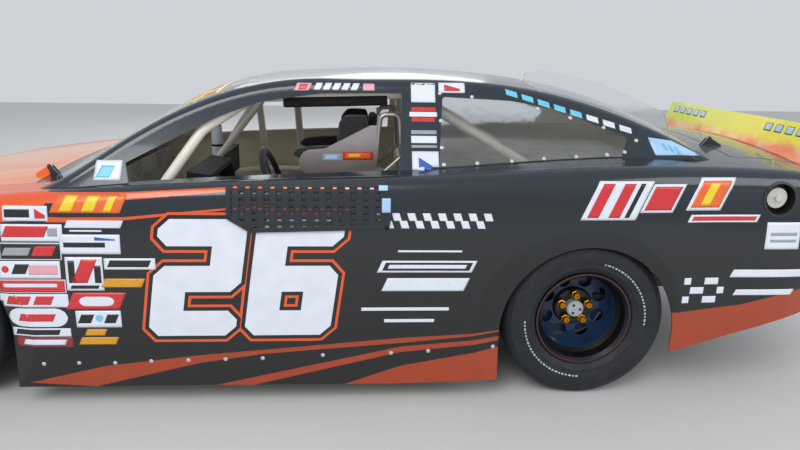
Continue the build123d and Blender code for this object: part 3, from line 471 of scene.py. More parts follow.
def lay(piece, target, axis, side=1):
    """Moves the piece's points along an axis onto the target, then out by CLEAR and by their own lift. Faces
    that miss the target, or drop over an edge of it, are cut away."""
    wrap = piece.modifiers.new("lay", "SHRINKWRAP")
    wrap.target, wrap.wrap_method = target, "PROJECT"
    setattr(wrap, "use_project_" + axis, True)
    wrap.use_negative_direction, wrap.use_positive_direction = side > 0, side < 0
    mesh = bpy.data.meshes.new_from_object(evaluated(piece))
    along = "xyz".index(axis)
    start, points = points_of(piece.data)[:, along], points_of(mesh)
    corners, firsts = np.empty(len(mesh.loops), int), np.empty(len(mesh.polygons), int)
    lifts = np.empty(len(mesh.vertices))
    mesh.loops.foreach_get("vertex_index", corners)
    mesh.polygons.foreach_get("loop_start", firsts)
    mesh.attributes["lift"].data.foreach_get("value", lifts)
    depth, met = points[corners, along], (np.abs(points[:, along] - start) > MOVED)[corners]
    drop = np.maximum.reduceat(depth, firsts) - np.minimum.reduceat(depth, firsts)
    stray = (drop > DROP) | ~np.logical_and.reduceat(met, firsts)
    points[:, along] += side * (CLEAR + lifts)
    mesh.vertices.foreach_set("co", points.ravel())
    piece.modifiers.clear()
    shell = bmesh.new()
    shell.from_mesh(mesh)
    shell.faces.ensure_lookup_table()
    bmesh.ops.delete(shell, geom=[shell.faces[n] for n in np.flatnonzero(stray)], context="FACES")
    shell.to_mesh(mesh)
    shell.free()
    piece.data = mesh


def thicken(piece, wall):
    """Gives a laid piece a wall of its own, inwards."""
    solid = piece.modifiers.new("wall", "SOLIDIFY")
    solid.thickness, solid.offset = wall, -1.0


# Width of a piece's cells in metres, and the least points along a round piece, a straight one and a quad
CELL, ROUND_POINTS, STRAIGHT_POINTS, QUAD_POINTS = 0.012, 25, 8, 12
# A pill's straight share and how far its ends close, a slant's lean, and a wedge's height at its low end
PILL_STRAIGHT, PILL_CLOSED, SLANT_LEAN, WEDGE_LOW = 0.55, 0.98, 0.45, 0.35


def patch(form, x0, x1, z0, z1):
    """Unit square spread over a box in x and z. A disc uses x = s * sqrt(1 - t * t / 2) and the same for z,
    a pill squeezes only its ends, a slant leans rearwards with its height, and a wedge grows towards its
    front end."""
    least = ROUND_POINTS if form in ("disc", "pill") else STRAIGHT_POINTS
    rows, columns = (max(least, round(abs(span) / CELL) + 1) for span in (x1 - x0, z1 - z0))
    s, t = np.meshgrid(np.linspace(-1, 1, rows), np.linspace(-1, 1, columns), indexing="ij")
    u, v = s, t
    if form == "disc":
        u, v = s * np.sqrt(1 - t * t / 2), t * np.sqrt(1 - s * s / 2)
    if form == "pill":
        end = np.clip((np.abs(s) - PILL_STRAIGHT) / (1 - PILL_STRAIGHT), 0, 1)
        v = t * np.sqrt(1 - end ** 2 * PILL_CLOSED)
    x = (x0 + x1) / 2 + u * (x1 - x0) / 2
    z = (z0 + z1) / 2 + v * (z1 - z0) / 2
    if form == "slant":
        x = x - SLANT_LEAN * (z - (z0 + z1) / 2)
    if form == "wedge":
        z = z0 + (z - z0) * (WEDGE_LOW + (1 - WEDGE_LOW) * (1 - s) / 2)
    return np.stack([x, np.zeros_like(x), z], -1)


def quad(a, b, c, d):
    """Four (x, z) corners in turn, joined by straight lines: a mix of the corners by s and t from 0 to 1."""
    share = np.linspace(0, 1, QUAD_POINTS)
    s, t = (grid[..., None] for grid in np.meshgrid(share, share, indexing="ij"))
    a, b, c, d = np.array((a, b, c, d)) / 1000
    x, z = np.moveaxis((1 - s) * ((1 - t) * a + t * d) + s * ((1 - t) * b + t * c), -1, 0)
    return np.stack([x, np.zeros_like(x), z], -1)


INK = {"white": "dfe5ef", "haze": "a9cdf0", "grey": "9aa0a8", "dark": "15171b", "red": "cf2f33",
       "wine": "8d2a33", "pink": "e6a5b4", "orange": "e8692a", "gold": "d9981f", "yellow": "ecd02c",
       "blue": "2f5fae", "sky": "6fc6e8"}
# Cut pieces on the sides: layer, form, colour, front x, rear x, low z and high z in millimetres.
# Those in front stand in two columns behind the front wheel, with one over them and one on the pillar
DECALS = [
    (0, "box", "white", 1069, 895, 798, 858), (1, "wedge", "red", 945, 905, 808, 848),
    (1, "box", "dark", 1062, 965, 812, 844), (0, "box", "white", 1081, 843, 717, 786),
    (1, "slant", "red", 1070, 905, 734, 778), (1, "box", "grey", 900, 862, 738, 770),
    (0, "box", "white", 1091, 852, 642, 712), (1, "box", "dark", 1088, 856, 647, 708),
    (2, "slant", "grey", 1078, 975, 660, 692), (2, "slant", "red", 962, 880, 658, 698),
    (0, "box", "white", 1101, 862, 566, 638), (1, "slant", "dark", 1045, 990, 585, 625),
    (1, "box", "pink", 985, 872, 582, 622), (1, "disc", "red", 1090, 1062, 590, 618),
    (0, "box", "white", 1109, 846, 505, 562), (1, "box", "red", 1107, 850, 509, 559),
    (2, "box", "white", 1090, 880, 530, 545), (0, "box", "white", 1118, 842, 445, 501),
    (1, "slant", "red", 1085, 995, 456, 492), (1, "slant", "red", 975, 905, 456, 492),
    (0, "pill", "white", 1091, 852, 360, 440), (1, "slant", "red", 1045, 905, 384, 416),
    (0, "box", "white", 1084, 846, 318, 354), (1, "slant", "dark", 1068, 890, 325, 348),
    (0, "box", "wine", 1074, 842, 272, 314), (1, "slant", "white", 1040, 870, 281, 304),
    (0, "slant", "white", 828, 610, 772, 802), (0, "box", "white", 815, 690, 757, 764),
    (0, "box", "white", 857, 621, 667, 746), (1, "box", "dark", 842, 680, 694, 714),
    (1, "wedge", "blue", 720, 640, 722, 736), (0, "box", "white", 842, 696, 516, 655),
    (1, "slant", "red", 800, 738, 548, 645), (1, "box", "dark", 832, 806, 548, 640),
    (1, "box", "dark", 730, 704, 548, 620), (1, "slant", "dark", 826, 716, 524, 538),
    (0, "box", "white", 690, 488, 604, 650), (1, "slant", "dark", 672, 510, 614, 642),
    (0, "slant", "gold", 700, 540, 530, 566), (0, "slant", "red", 838, 628, 436, 507),
    (1, "pill", "white", 800, 662, 450, 490), (0, "box", "white", 820, 640, 358, 430),
    (1, "slant", "dark", 806, 754, 376, 414), (1, "disc", "sky", 742, 712, 382, 412),
    (1, "slant", "dark", 702, 656, 376, 414), (0, "slant", "gold", 812, 664, 282, 314),
    (0, "slant", "orange", 872, 600, 831, 903), (1, "slant", "yellow", 838, 790, 837, 897),
    (1, "slant", "yellow", 752, 704, 837, 897), (1, "slant", "yellow", 668, 638, 837, 897),
    (0, "slant", "gold", 786, 706, 322, 350), (0, "box", "white", 748, 642, 942, 1016),
    (1, "slant", "sky", 732, 678, 952, 996),
]
# Behind the door window: the column on the pillar, and small pieces on the roof's edge
DECALS += [
    (0, "box", "white", -549, -655, 1252, 1332), (0, "box", "red", -549, -655, 1216, 1232),
    (0, "box", "white", -540, -660, 1194, 1213), (0, "box", "red", -549, -650, 1174, 1191),
    (0, "box", "grey", -545, -655, 1125, 1140), (0, "box", "white", -545, -655, 1090, 1118),
    (0, "box", "grey", -545, -655, 1072, 1082), (0, "box", "white", -547, -660, 975, 1058),
    (1, "wedge", "blue", -575, -632, 985, 1035), (0, "box", "white", -670, -786, 1292, 1334),
    (1, "wedge", "red", -695, -765, 1300, 1327), (0, "slant", "pink", -48, -112, 1294, 1326),
    (1, "slant", "red", -64, -98, 1300, 1321), (0, "box", "pink", -340, -390, 1297, 1326),
]
# Door and rear quarter: bars, slants and stripes
DECALS += [
    (0, "box", "white", -484, -747, 676, 684), (0, "slant", "white", -410, -800, 590, 640),
    (1, "slant", "dark", -428, -786, 598, 632), (2, "slant", "white", -446, -766, 607, 623),
    (0, "slant", "white", -430, -770, 510, 566), (0, "box", "white", -335, -700, 424, 438),
    (0, "box", "white", -430, -640, 372, 386), (0, "slant", "white", -1500, -1640, 842, 960),
    (1, "slant", "red", -1512, -1628, 852, 950), (0, "slant", "white", -1700, -1850, 850, 985),
    (1, "slant", "orange", -1714, -1838, 862, 973), (0, "slant", "white", -1690, -1990, 800, 832),
    (1, "slant", "red", -1704, -1978, 807, 825), (0, "box", "white", -2030, -2180, 684, 800),
    (1, "box", "grey", -2050, -2165, 742, 756), (1, "box", "grey", -2050, -2165, 714, 726),
    (0, "slant", "white", -1905, -2230, 560, 594), (0, "slant", "white", -1930, -2190, 478, 504),
    (0, "slant", "white", -1262, -1492, 812, 972), (1, "slant", "red", -1284, -1332, 822, 962),
    (1, "slant", "red", -1372, -1420, 822, 962), (1, "slant", "dark", -1440, -1460, 822, 962),
    (2, "slant", "yellow", -1752, -1792, 872, 963),
]
DECALS += [(0, "slant", "white", -132 - 40 * n, -160 - 40 * n, 1298, 1327) for n in range(5)]
DECALS += [(0, "box", "white", x, x - 30, z, z + 30) for n in range(9) for x, z in
           [(-1700 - 60 * (n // 3) - 30 * (n % 2), 445 + 42 * (n % 3))]]
# Slanted quads, as layer, colour and (x, z) corners: the pale patch on the rear pillar
QUADS = [(0, "haze", (-1575, 1122), (-1675, 1110), (-1800, 1052), (-1600, 1050))]
QUADS += [(1, "sky", (x, z), (x - 14, z - 2), (x - 32, z - 32), (x - 18, z - 30))
          for n in range(3) for x, z in [(-1628 - 26 * n, 1100 - 6 * n)]]
# Bars that run down the roof's rear edge, blue ones and then white ones
QUADS += [(0, "sky" if n < 5 else "white", (x, z), (x - 50, z - 14), (x - 54, z - 38), (x - 4, z - 24))
          for n in range(8) for x, z in [(-965 - 70 * n, 1312 - 20 * n)]]
# Chequers on the door behind the net's foot
QUADS += [(0, "white", (x, z), (x - 31, z), (x - 41, z - 31), (x - 10, z - 31)) for n in range(15) for x, z in
          [(-395 - 31 * n, 837 - 31 * (n % 2))]]


def ink(tree, where):
    """Colour of the printed ink, from the piece's own attribute."""
    return add(tree, "VertexColor", layer_name="ink")


# Printed vinyl: even colour with sharp edges, under a thin glossy laminate
vinyl = finish("cut_vinyl", ink, 0.28, 5.0, 0.02, 0.03, Coat_Weight=0.3)


# Distance from the car's middle at which pieces start before they are laid, the start's step from layer to
# layer, and the thickness of a layer, thicker than real so that no layer shows through the next
LAY_FROM, START_STEP, LAYER = 1.6, 0.001, 0.0005


def cut_vinyl(name, table, target, axis="y", side=1, body="car", quads=()):
    """Lays a table of cut pieces on a target along an axis, each layer further out by its thickness, and
    gives them a wall. A table for the z axis has y in place of z, and one for the x axis has y in place of
    x."""
    spots = [(layer, colour, patch(form, *np.array(box) / 1000)) for layer, form, colour, *box in table]
    spots += [(layer, colour, quad(*corners)) for layer, colour, *corners in quads]
    order = {"x": [1, 0, 2], "y": [0, 1, 2], "z": [0, 2, 1]}[axis]
    for layer, colour, spot in spots:
        spot[..., 1] = side * (LAY_FROM + START_STEP * layer)
    piece = build(name, [spot[..., order] for layer, colour, spot in spots], vinyl, body,
                  inks=[linear(INK[colour]) for layer, colour, spot in spots],
                  lifts=[LAYER * layer for layer, colour, spot in spots])
    lay(piece, target, axis, side)
    thicken(piece, LAYER)


for name, side in SIDES.items():
    cut_vinyl("decals_" + name, DECALS, outer_shell, side=side, quads=QUADS)


# Screws: zinc plated button heads with a washer edge, which hold the skirts, the side windows and both
# screens. Each sits square on the panel under it.

def turn(profile, sides):
    """Surface of a profile of (radius, y) points turned once about the y axis, in equal steps."""
    radius, y = np.asarray(profile, float).T
    angle = math.tau * np.linspace(0, 1, sides + 1)[:, None]
    return np.stack([radius * np.sin(angle), y + 0 * angle, radius * np.cos(angle)], -1)


def seated(form, spots, heading, target):
    """Copies of a form, whose axis is y, where rays from the spots meet the target: each is turned from y to
    the surface's normal and moved to the place."""
    tree = BVHTree.FromObject(target, bpy.context.evaluated_depsgraph_get())
    copies = []
    for spot in spots:
        met, normal, *others = tree.ray_cast(Vector(spot), Vector(heading))
        spin = np.array(Vector((0, 1, 0)).rotation_difference(normal).to_matrix())
        copies.append(form @ spin.T + np.array(met))
    return np.stack(copies)


# Zinc plate: bright and slightly clouded
zinc = finish("zinc_plated_steel", "d6d9dc", 0.32, 0.6, 0.08, 0.06, Metallic=0.7)
screw = turn([(0.0, 0.0016), (0.0016, 0.0016), (0.0019, 0.0032), (0.0045, 0.0029), (0.0062, 0.0016),
              (0.0064, 0.0006), (0.0086, 0.0004), (0.0086, -0.0008), (0.0, -0.0008)], 14)
# Places of the screws on a side as x and z, and on the screens as x and y
SKIRT_SCREWS = [(0.972, 0.195), (0.830, 0.198), (0.684, 0.197), (0.536, 0.204), (0.384, 0.207),
                (0.231, 0.210), (0.077, 0.213), (-0.174, 0.225), (-0.461, 0.231), (-0.619, 0.239),
                (-0.898, 0.251)]
WINDOW_SCREWS = [(-0.817, 1.277), (-1.104, 1.232), (-1.244, 1.196), (-1.387, 1.158), (-1.524, 1.108),
                 (-1.465, 1.062), (-1.386, 1.051), (-1.250, 1.042), (-1.110, 1.034), (-0.971, 1.023),
                 (-0.823, 1.014), (-0.681, 1.008), (-0.675, 1.073), (-0.676, 1.179), (-0.676, 1.290)]
SCREEN_SCREWS = [(x, y) for y in (-0.555, -0.37, -0.185, 0.0, 0.185, 0.37, 0.555) for x in (0.165, -1.128)]
SCREEN_SCREWS += [(x, side * (0.55 + 0.06 * x)) for x in (0.27, 0.39, 0.51, 0.63, 0.75) for side in (1, -1)]
for name, side in SIDES.items():
    rows = [(x, LAY_FROM * side, z) for x, z in SKIRT_SCREWS + WINDOW_SCREWS]
    heads = seated(screw, rows, (0, -side, 0), outer_shell)
    build("screws_" + name, [heads], zinc, "car", smooth=50)
heads = seated(screw, [(x, y, LAY_FROM) for x, y in SCREEN_SCREWS], (0, 0, -1), outer_shell)
build("screws_screens", [heads], zinc, "car", smooth=50)


# Windows: clear polycarbonate sheet, screwed to the pillars, with faint ripples and scratches.
# A yellow and red sun strip is stuck along the windshield's upper edge.

RIPPLE_MM, SCRATCH_MM, POLISHED, SCRATCHED = 150, 8, 0.03, 0.15


def clear_sheet(name, tint):
    """Polycarbonate: clear, IOR 1.58, with long ripples that bend what is seen through it, and duller where
    fine scratches lie."""
    material, tree, where = blank(name)
    ripples = add(tree, "TexNoise", {"Vector": where, "Scale": 1000 / RIPPLE_MM, "Detail": 2.0})
    relief = add(tree, "Bump", {"Height": ripples, "Strength": 0.25, "Distance": 0.01})
    scratches = add(tree, "TexNoise", {"Vector": where, "Scale": 1000 / SCRATCH_MM, "Detail": 6.0})
    dulled = add(tree, "MapRange", {"Value": scratches, "From Min": 0.4, "From Max": 0.8,
                                    "To Min": POLISHED, "To Max": SCRATCHED})
    shader = add(tree, "BsdfPrincipled", {"Base Color": linear(tint), "Roughness": dulled, "Normal": relief,
                                          "Transmission Weight": 1.0, "IOR": 1.58})
    add(tree, "OutputMaterial", {"Surface": shader})
    return material


polycarbonate = clear_sheet("clear_polycarbonate", "f6f9fa")
dress(polycarbonate, "windshield", "rear_window", "shark_fin", *pair("quarter_window"))
# Pieces of the strip: layer, form, colour, front x, rear x, and both ends in y
SUN_STRIP = [(0, "box", "yellow", 455, 300, -520, 520)]
SUN_STRIP += [(1, "box", "orange", 448, 392, -505 + 170 * n, -425 + 170 * n) for n in range(6)]
SUN_STRIP += [(1, "box", "red", 372, 312, -420 + 170 * n, -350 + 170 * n) for n in range(6)]
cut_vinyl("sun_strip", SUN_STRIP, outer_shell, "z")


# Spoiler: a bent aluminium blade in greenish yellow enamel, screwed along the deck lid.
# Its foot fades to orange and pink, a painted reflection, and plain pale bars stand on its face.

# Heights between which the foot's painted reflection ends, how far its clouds reach up, and a cloud's width,
# in metres
FOOT_FROM, FOOT_TO, FOOT_CLOUDS, CLOUD_WIDTH = 1.085, 1.130, 0.09, 1 / 9


def blade_colours(tree, where):
    """Yellow that turns green towards the right end, and orange to pink along the foot in soft clouds, a
    painted reflection.
    """
    parts = add(tree, "SeparateXYZ", {"Vector": where}).outputs
    clouds = add(tree, "TexNoise", {"Vector": where, "Scale": 1 / CLOUD_WIDTH, "Detail": 3.0})
    height = add(tree, "Math", {0: clouds, 1: FOOT_CLOUDS, 2: parts["Z"]}, operation="MULTIPLY_ADD")
    foot = add(tree, "MapRange", {"Value": height, "From Min": FOOT_FROM, "From Max": FOOT_TO})
    warm = add(tree, "MapRange", {"Value": clouds, "From Min": 0.42, "From Max": 0.6})
    # Orange to pink along the foot: a painted reflection
    foot_reflection_tint = add(tree, "MixRGB", {"Fac": warm, "Color1": linear("f08a55"), "Color2": linear("eeb0a0")})
    across = add(tree, "MapRange", {"Value": parts["Y"], "From Min": -0.7, "From Max": 0.2})
    upper = add(tree, "MixRGB", {"Fac": across, "Color1": linear("cfe023"), "Color2": linear("f5ea10")})
    return add(tree, "MixRGB", {"Fac": foot, "Color1": foot_reflection_tint, "Color2": upper})


# Enamel under a clear coat: bright, with soft reflections
blade_enamel = finish("greenish_yellow_enamel", blade_colours, 0.3, 2.0, 0.05, 0.04, Coat_Weight=0.3)
dress(blade_enamel, "spoiler")
blade_target = merged_copy("blade_target", "spoiler")
# Dark bars with a pale face: layer, form, colour, both ends in y, low z and high z
BLADE_BARS = [(layer, "box", colour, y - inset, y - 58 + inset, 1112 + inset, 1150 - inset)
              for y in (690, 606, 522, 438, 354, -296, -380, -464, -548, -632)
              for layer, colour, inset in ((0, "dark", 0), (1, "haze", 4))]
cut_vinyl("blade_bars", BLADE_BARS, blade_target, "x", body="deck_lid")


# Fuel filler: a cast aluminium cap with a grip in a black cup, and a rubber hose down to the cell.
# The cap is satin, worn bright where the fuel can locks on.

def ringed(middle, half, height, rings):
    """Colour by the distance from the point |x - middle| = half, z = height, stepping at each ring's radius.
    rings runs from the middle out, with each ring's outer radius in millimetres and its colour."""
    def shown(tree, where):
        parts = add(tree, "SeparateXYZ", {"Vector": where}).outputs
        from_middle = add(tree, "Math", {0: parts["X"], 1: middle}, operation="SUBTRACT")
        reach = add(tree, "Math", {0: from_middle}, operation="ABSOLUTE")
        x = add(tree, "Math", {0: reach, 1: half}, operation="SUBTRACT")
        z = add(tree, "Math", {0: parts["Z"], 1: height}, operation="SUBTRACT")
        flat = add(tree, "CombineXYZ", {"X": x, "Z": z})
        radius = add(tree, "VectorMath", {0: flat}, operation="LENGTH").outputs["Value"]
        result = linear(rings[-1][1])
        for outer, code in reversed(rings[:-1]):
            inside = add(tree, "Math", {0: radius, 1: outer / 1000}, operation="LESS_THAN")
            result = add(tree, "MixRGB", {"Fac": inside, "Color1": result, "Color2": linear(code)})
        return result
    return shown


FILLER_X, FILLER_Z = -2.074, 0.897
FILLER_RINGS = [(45, "c9c7c0"), (66, "1a1b1d"), (900, "2a2b2e")]
# Cast aluminium is pale and satin, the enamelled cup and the hose are black and a little glossier
filler_rings = ringed(FILLER_X, 0.0, FILLER_Z, FILLER_RINGS)
filler_cast = finish("cast_cap_in_black_cup", filler_rings, 0.42, 1.0, 0.12, 0.1)
dress(filler_cast, "fuel_filler")


# Gauges: six round dials with black printed faces in turned aluminium bezels, pushed into holes in a row
# along the dash, in front of the driver.

dash_shell = merged_copy("dash_shell", "dash")
DIALS = [(-0.2, 0.14 + 0.0775 * n, 0.812) for n in range(6)]
bezel = turn([(0.027, 0.0), (0.027, 0.004), (0.031, 0.007), (0.034, 0.005), (0.034, 0.0)], 40)
face = turn([(0.0, 0.002), (0.0275, 0.002), (0.0275, 0.0), (0.0, 0.0)], 40)
# Turned rings glint, and the printed faces are black under clear lacquer
brushed = finish("brushed_aluminium", "b9bcc0", 0.3, 0.8, 0.1, 0.05, Metallic=1.0)
printed_black = cloth_colours("101113", "0b0c0d", 3.0)
dial_black = finish("printed_dial_face", printed_black, 0.25, 1.0, 0.02, Coat_Weight=0.4)
build("gauge_bezels", [seated(bezel, DIALS, (1, 0, 0), dash_shell)], brushed, "car", smooth=50)
build("gauge_faces", [seated(face, DIALS, (1, 0, 0), dash_shell)], dial_black, "car", smooth=50)


# Sleeves: closed-cell foam round the bar above the driver, and a white fire bottle with a black strap on the
# dash. Both are straight round pieces over their tubes.

def sleeve(start, end, profile):
    """Round piece from start to end, both in millimetres: a profile of (radius, share of the length) points
    turned about the line between them."""
    start, end = np.array(start) / 1000, np.array(end) / 1000
    length = np.linalg.norm(end - start)
    spin = np.array(Vector((0, 1, 0)).rotation_difference(Vector(end - start)).to_matrix())
    points = [(radius / 1000, share * length) for radius, share in profile]
    return turn(points, 32) @ spin.T + start


# Foam is dull and grainy, the bottle's enamel smooth and glossy, and the strap a soft black
foam = finish("black_foam_sleeve", scuffed("1a1b1e", "26272b", 25), 0.92, 2.5, 0.5)
bottle_enamel = finish("white_enamelled_bottle", "dfe4ea", 0.3, 2.0, 0.04, 0.05, Coat_Weight=0.3)
strap_rubber = finish("black_rubber_strap", "141517", 0.7, 1.0, 0.2)
FOAM_PROFILE = [(0, -0.004), (22, -0.004), (27, 0.004), (28, 0.015), (28, 0.49), (27.2, 0.495), (27.2, 0.5),
                (28, 0.505), (28, 0.985), (27, 0.996), (22, 1.004), (0, 1.004)]
BOTTLE_PROFILE = [(0, 0), (28.6, 0), (28.8, 0.96), (27, 1.002), (0, 1.004)]
STRAP_PROFILE = [(28, 0), (29.6, 0), (29.8, 0.5), (29.6, 1), (28, 1), (28, 0)]
BOTTLE_X, BOTTLE_Y = 457, -120
bar_foam = sleeve((-449, 520, 1256), (12, 520, 1242), FOAM_PROFILE)
bottle = sleeve((BOTTLE_X, BOTTLE_Y, 838), (BOTTLE_X, BOTTLE_Y, 1061), BOTTLE_PROFILE)
bottle_strap = sleeve((BOTTLE_X, BOTTLE_Y, 946), (BOTTLE_X, BOTTLE_Y, 958), STRAP_PROFILE)
build("roof_bar_foam", [bar_foam], foam, "car", smooth=50)
build("bottle", [bottle], bottle_enamel, "car", smooth=50)
build("bottle_strap", [bottle_strap], strap_rubber, "car", smooth=50)


# Seat marks: printed vinyl stuck on the left side of the seat's shell,
# a pale slant at the front, and a yellow one on orange and red behind it.

seat_target = merged_copy("seat_target", "seat_shell")
SEAT_MARKS = [(0, "box", "grey", -155, -250, 978, 1009), (1, "slant", "haze", -168, -228, 984, 1002),
              (0, "box", "red", -250, -386, 983, 1023), (1, "box", "orange", -258, -378, 990, 1014),
              (2, "slant", "yellow", -276, -330, 996, 1010)]
cut_vinyl("seat_marks", SEAT_MARKS, seat_target)


# Seat pads: black cloth over foam, glued into the shell at the base, back, head and shoulders.
# The cloth is pressed out by the foam, rounder in the middle than along its edges.

# Metres by which a pad starts smaller, by which a point may then swell, and across a cell of its cloth
PAD_INSET, PAD_SWELL, PAD_CELL = 0.004, 0.006, 0.0078
PAD_PRESSURE, PAD_STEPS = 4.0, 20


def padded(name, source, material, body):
    """Pad from a CAD node: its faces are moved in, remeshed and blown up as cloth under pressure, with each
    point's move capped."""
    pad = merged_copy(name, source, hidden=False)
    shrink = pad.modifiers.new("shrink", "DISPLACE")
    shrink.mid_level, shrink.strength = 0.0, -PAD_INSET
    weave = pad.modifiers.new("weave", "REMESH")
    weave.mode, weave.voxel_size = "VOXEL", PAD_CELL
    pad.data = bpy.data.meshes.new_from_object(evaluated(pad))
    pad.modifiers.clear()
    cloth = pad.modifiers.new("cloth", "CLOTH")
    cloth.settings.use_pressure = True
    cloth.settings.uniform_pressure_force = PAD_PRESSURE
    cloth.settings.effector_weights.gravity = 0.0
    for step in range(1, PAD_STEPS + 1):
        bpy.context.scene.frame_set(step)
    before = points_of(pad.data)
    move = points_of(evaluated(pad).data) - before
    length = np.linalg.norm(move, axis=1, keepdims=True)
    move *= np.minimum(1.0, PAD_SWELL / np.maximum(length, 1e-9))
    pad.modifiers.clear()
    pad.data.vertices.foreach_set("co", (before + move).ravel())
    bpy.context.scene.frame_set(1)
    pad.data.materials.append(material)
    pad.data.shade_smooth()
    round_off = pad.modifiers.new("round", "SUBSURF")
    round_off.levels = round_off.render_levels = 1
    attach(pad, body)
    return pad


pads = padded("seat_cushions", "seat_pads", pad_cloth, "car")
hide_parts("seat_pads")


# Window net: black nylon webbing, 31 mm straps upright and 18 mm ones level, sewn at 49 and 27 mm pitch and
# bound along the edge. It hangs down over the door, with two rows of stitches, and two pale tabs at its rear
# end.

# Nylon webbing: a slight sheen over a woven check of 1.6 mm
net_weave = cloth_colours("262e36", "101419", 1.6)
webbing = finish("black_nylon_webbing", net_weave, 0.62, 1.6, 0.6, Sheen_Weight=0.2)
NET_TOP = [(-0.462, 0.872), (-0.432, 0.962), (0.201, 0.948)]
NET_LOW = [(-0.462, 0.868), (-0.446, 0.771), (0.108, 0.757), (0.201, 0.814)]
NET_REAR, NET_FRONT, NET_OUT = -0.462, 0.201, 1.2
# Half widths of the straps, the pitch of the upright and the level ones, and the foremost and highest strap
NET_UPRIGHT, NET_LEVEL, NET_EDGE, NET_PITCH, NET_ROW = 0.0155, 0.009, 0.010, 0.049, 0.0267
NET_FIRST, NET_HIGHEST = 0.162, 0.930
# Lift of the upright straps over the level ones and of the binding over both, the wall, and the edge's margin
UPRIGHT_LIFT, EDGE_LIFT, NET_WALL, NET_MARGIN = 0.0012, 0.002, 0.0016, 0.001


def between(chain, x):
    """Height of a chain of (x, z) points at x, straight from point to point."""
    return np.interp(x, *zip(*chain))


def strap(start, end, across, rows=40):
    """Flat strip from start to end: the line between them, spread by half its width to both sides."""
    along = np.linspace(0, 1, rows)[:, None, None]
    spread = np.linspace(-1, 1, 5)[None, :, None] * np.asarray(across)
    return np.asarray(start) * (1 - along) + np.asarray(end) * along + spread


def net_straps():
    """Strips of the net in the plane x, z, held inside its outline: upright ones, level ones and the edge
    binding."""
    straps = [strap((x, NET_OUT, 0.74), (x, NET_OUT, 0.98), (NET_UPRIGHT, 0, 0))
              for x in np.arange(NET_FIRST, -0.44, -NET_PITCH)]
    lifts = [UPRIGHT_LIFT] * len(straps)
    for z in np.arange(NET_HIGHEST, 0.77, -NET_ROW):
        straps.append(strap((NET_REAR, NET_OUT, z), (NET_FRONT, NET_OUT, z), (0, 0, NET_LEVEL), 80))
        lifts.append(0.0)
    edge = [*NET_TOP, *reversed(NET_LOW)]
    centre = np.mean(edge, 0)
    for (xa, za), (xb, zb) in zip(edge, edge[1:] + edge[:1]):
        inward = np.array((zb - za, 0, xa - xb)) / np.hypot(xb - xa, zb - za) * NET_EDGE
        inward *= np.sign(inward[0] * (centre[0] - xa) + inward[2] * (centre[1] - za))
        straps.append(strap((xa, NET_OUT, za) + inward, (xb, NET_OUT, zb) + inward, inward))
        lifts.append(EDGE_LIFT)
    for grid in straps:
        x, z = grid[..., 0], grid[..., 2]
        grid[..., 0] = x = np.clip(x, NET_REAR + 2 * NET_MARGIN, NET_FRONT - 2 * NET_MARGIN)
        grid[..., 2] = np.clip(z, between(NET_LOW, x) + NET_MARGIN, between(NET_TOP, x) - NET_MARGIN)
    return straps, lifts


net_target = merged_copy("net_target", "window_net")
straps, lifts = net_straps()
net = build("net_webbing", straps, webbing, "car", lifts=lifts)
lay(net, net_target, "y")
thicken(net, NET_WALL)
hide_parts("window_net")
# Stitches and tabs, six millimetres out, so that they stand clear of the binding
NET_MARKS = [(12, "box", "orange" if n < 9 else "pink", 170 - 49 * n, 154 - 49 * n, 934, 941)
             for n in range(12)]
NET_MARKS += [(12, "box", "wine", 169 - 49 * n, 155 - 49 * n, 851, 857) for n in range(10)]
NET_MARKS += [(12, "box", "haze", -404, -440, 930, 950), (12, "box", "haze", -417, -452, 842, 900)]
cut_vinyl("net_marks", NET_MARKS, net_target)


# Wheels: pressed steel, a black barrel with a blue disc and a black hub plate, gold nuts and a cast hub cap.
# The bead flange shows a thin ring of brown primer where the tyre irons have worn the enamel.

# Each axle's x, the height of all wheels, and the distance of their middle from the car's
AXLES, AXLE_Z, WHEEL_Y = {"front": 1.495, "rear": -1.299}, 0.354, 0.775
AXLE_MIDDLE, AXLE_HALF = sum(AXLES.values()) / 2, (AXLES["front"] - AXLES["rear"]) / 2
WHEEL_RINGS = [(38.5, "b4b8bc"), (91, "141519"), (171.5, "1b3657"), (199, "0e1013"), (206.5, "43211f"),
               (400, "121316")]
NUT_CIRCLE, CAP_HOLE_CIRCLE, CAP_HOLE_R = 0.0635, 0.021, 0.0062
# Enamel on steel is half glossy, and duller where brake dust lies. Anodised nuts glint gold, and the drilled
# holes of the cap are shallow dimples painted near black, a painted shade for the depth of the holes
wheel_rings = ringed(AXLE_MIDDLE, AXLE_HALF, AXLE_Z, WHEEL_RINGS)
wheel_enamel = finish("enamelled_pressed_steel", wheel_rings, 0.32, 1.5, 0.06, 0.12)
nut_gold = finish("gold_anodised_steel", "c98a1c", 0.3, 0.8, 0.08, 0.06, Metallic=0.9)
hole_shade_black = finish("painted_hole_shade_black", "0c0d0f", 0.6, 1.0, 0.1)
for axle in AXLES:
    dress(wheel_enamel, *pair(axle + "_wheel"))


def wheels():
    """For each wheel: its place, its body, the side as a factor, and the middle of its axle on the car."""
    for axle, x in AXLES.items():
        for name, side in SIDES.items():
            yield axle + "_" + name, axle + "_wheel_" + name, np.array((1, side, 1)), np.array((x, 0, AXLE_Z))


def round_hub(count, circle, phase=0.0):
    """Offsets of count equal places on a circle about the axle."""
    angle = phase + math.tau * np.arange(count) / count
    return np.stack([circle * np.sin(angle), 0 * angle, circle * np.cos(angle)], -1)[:, None, None]


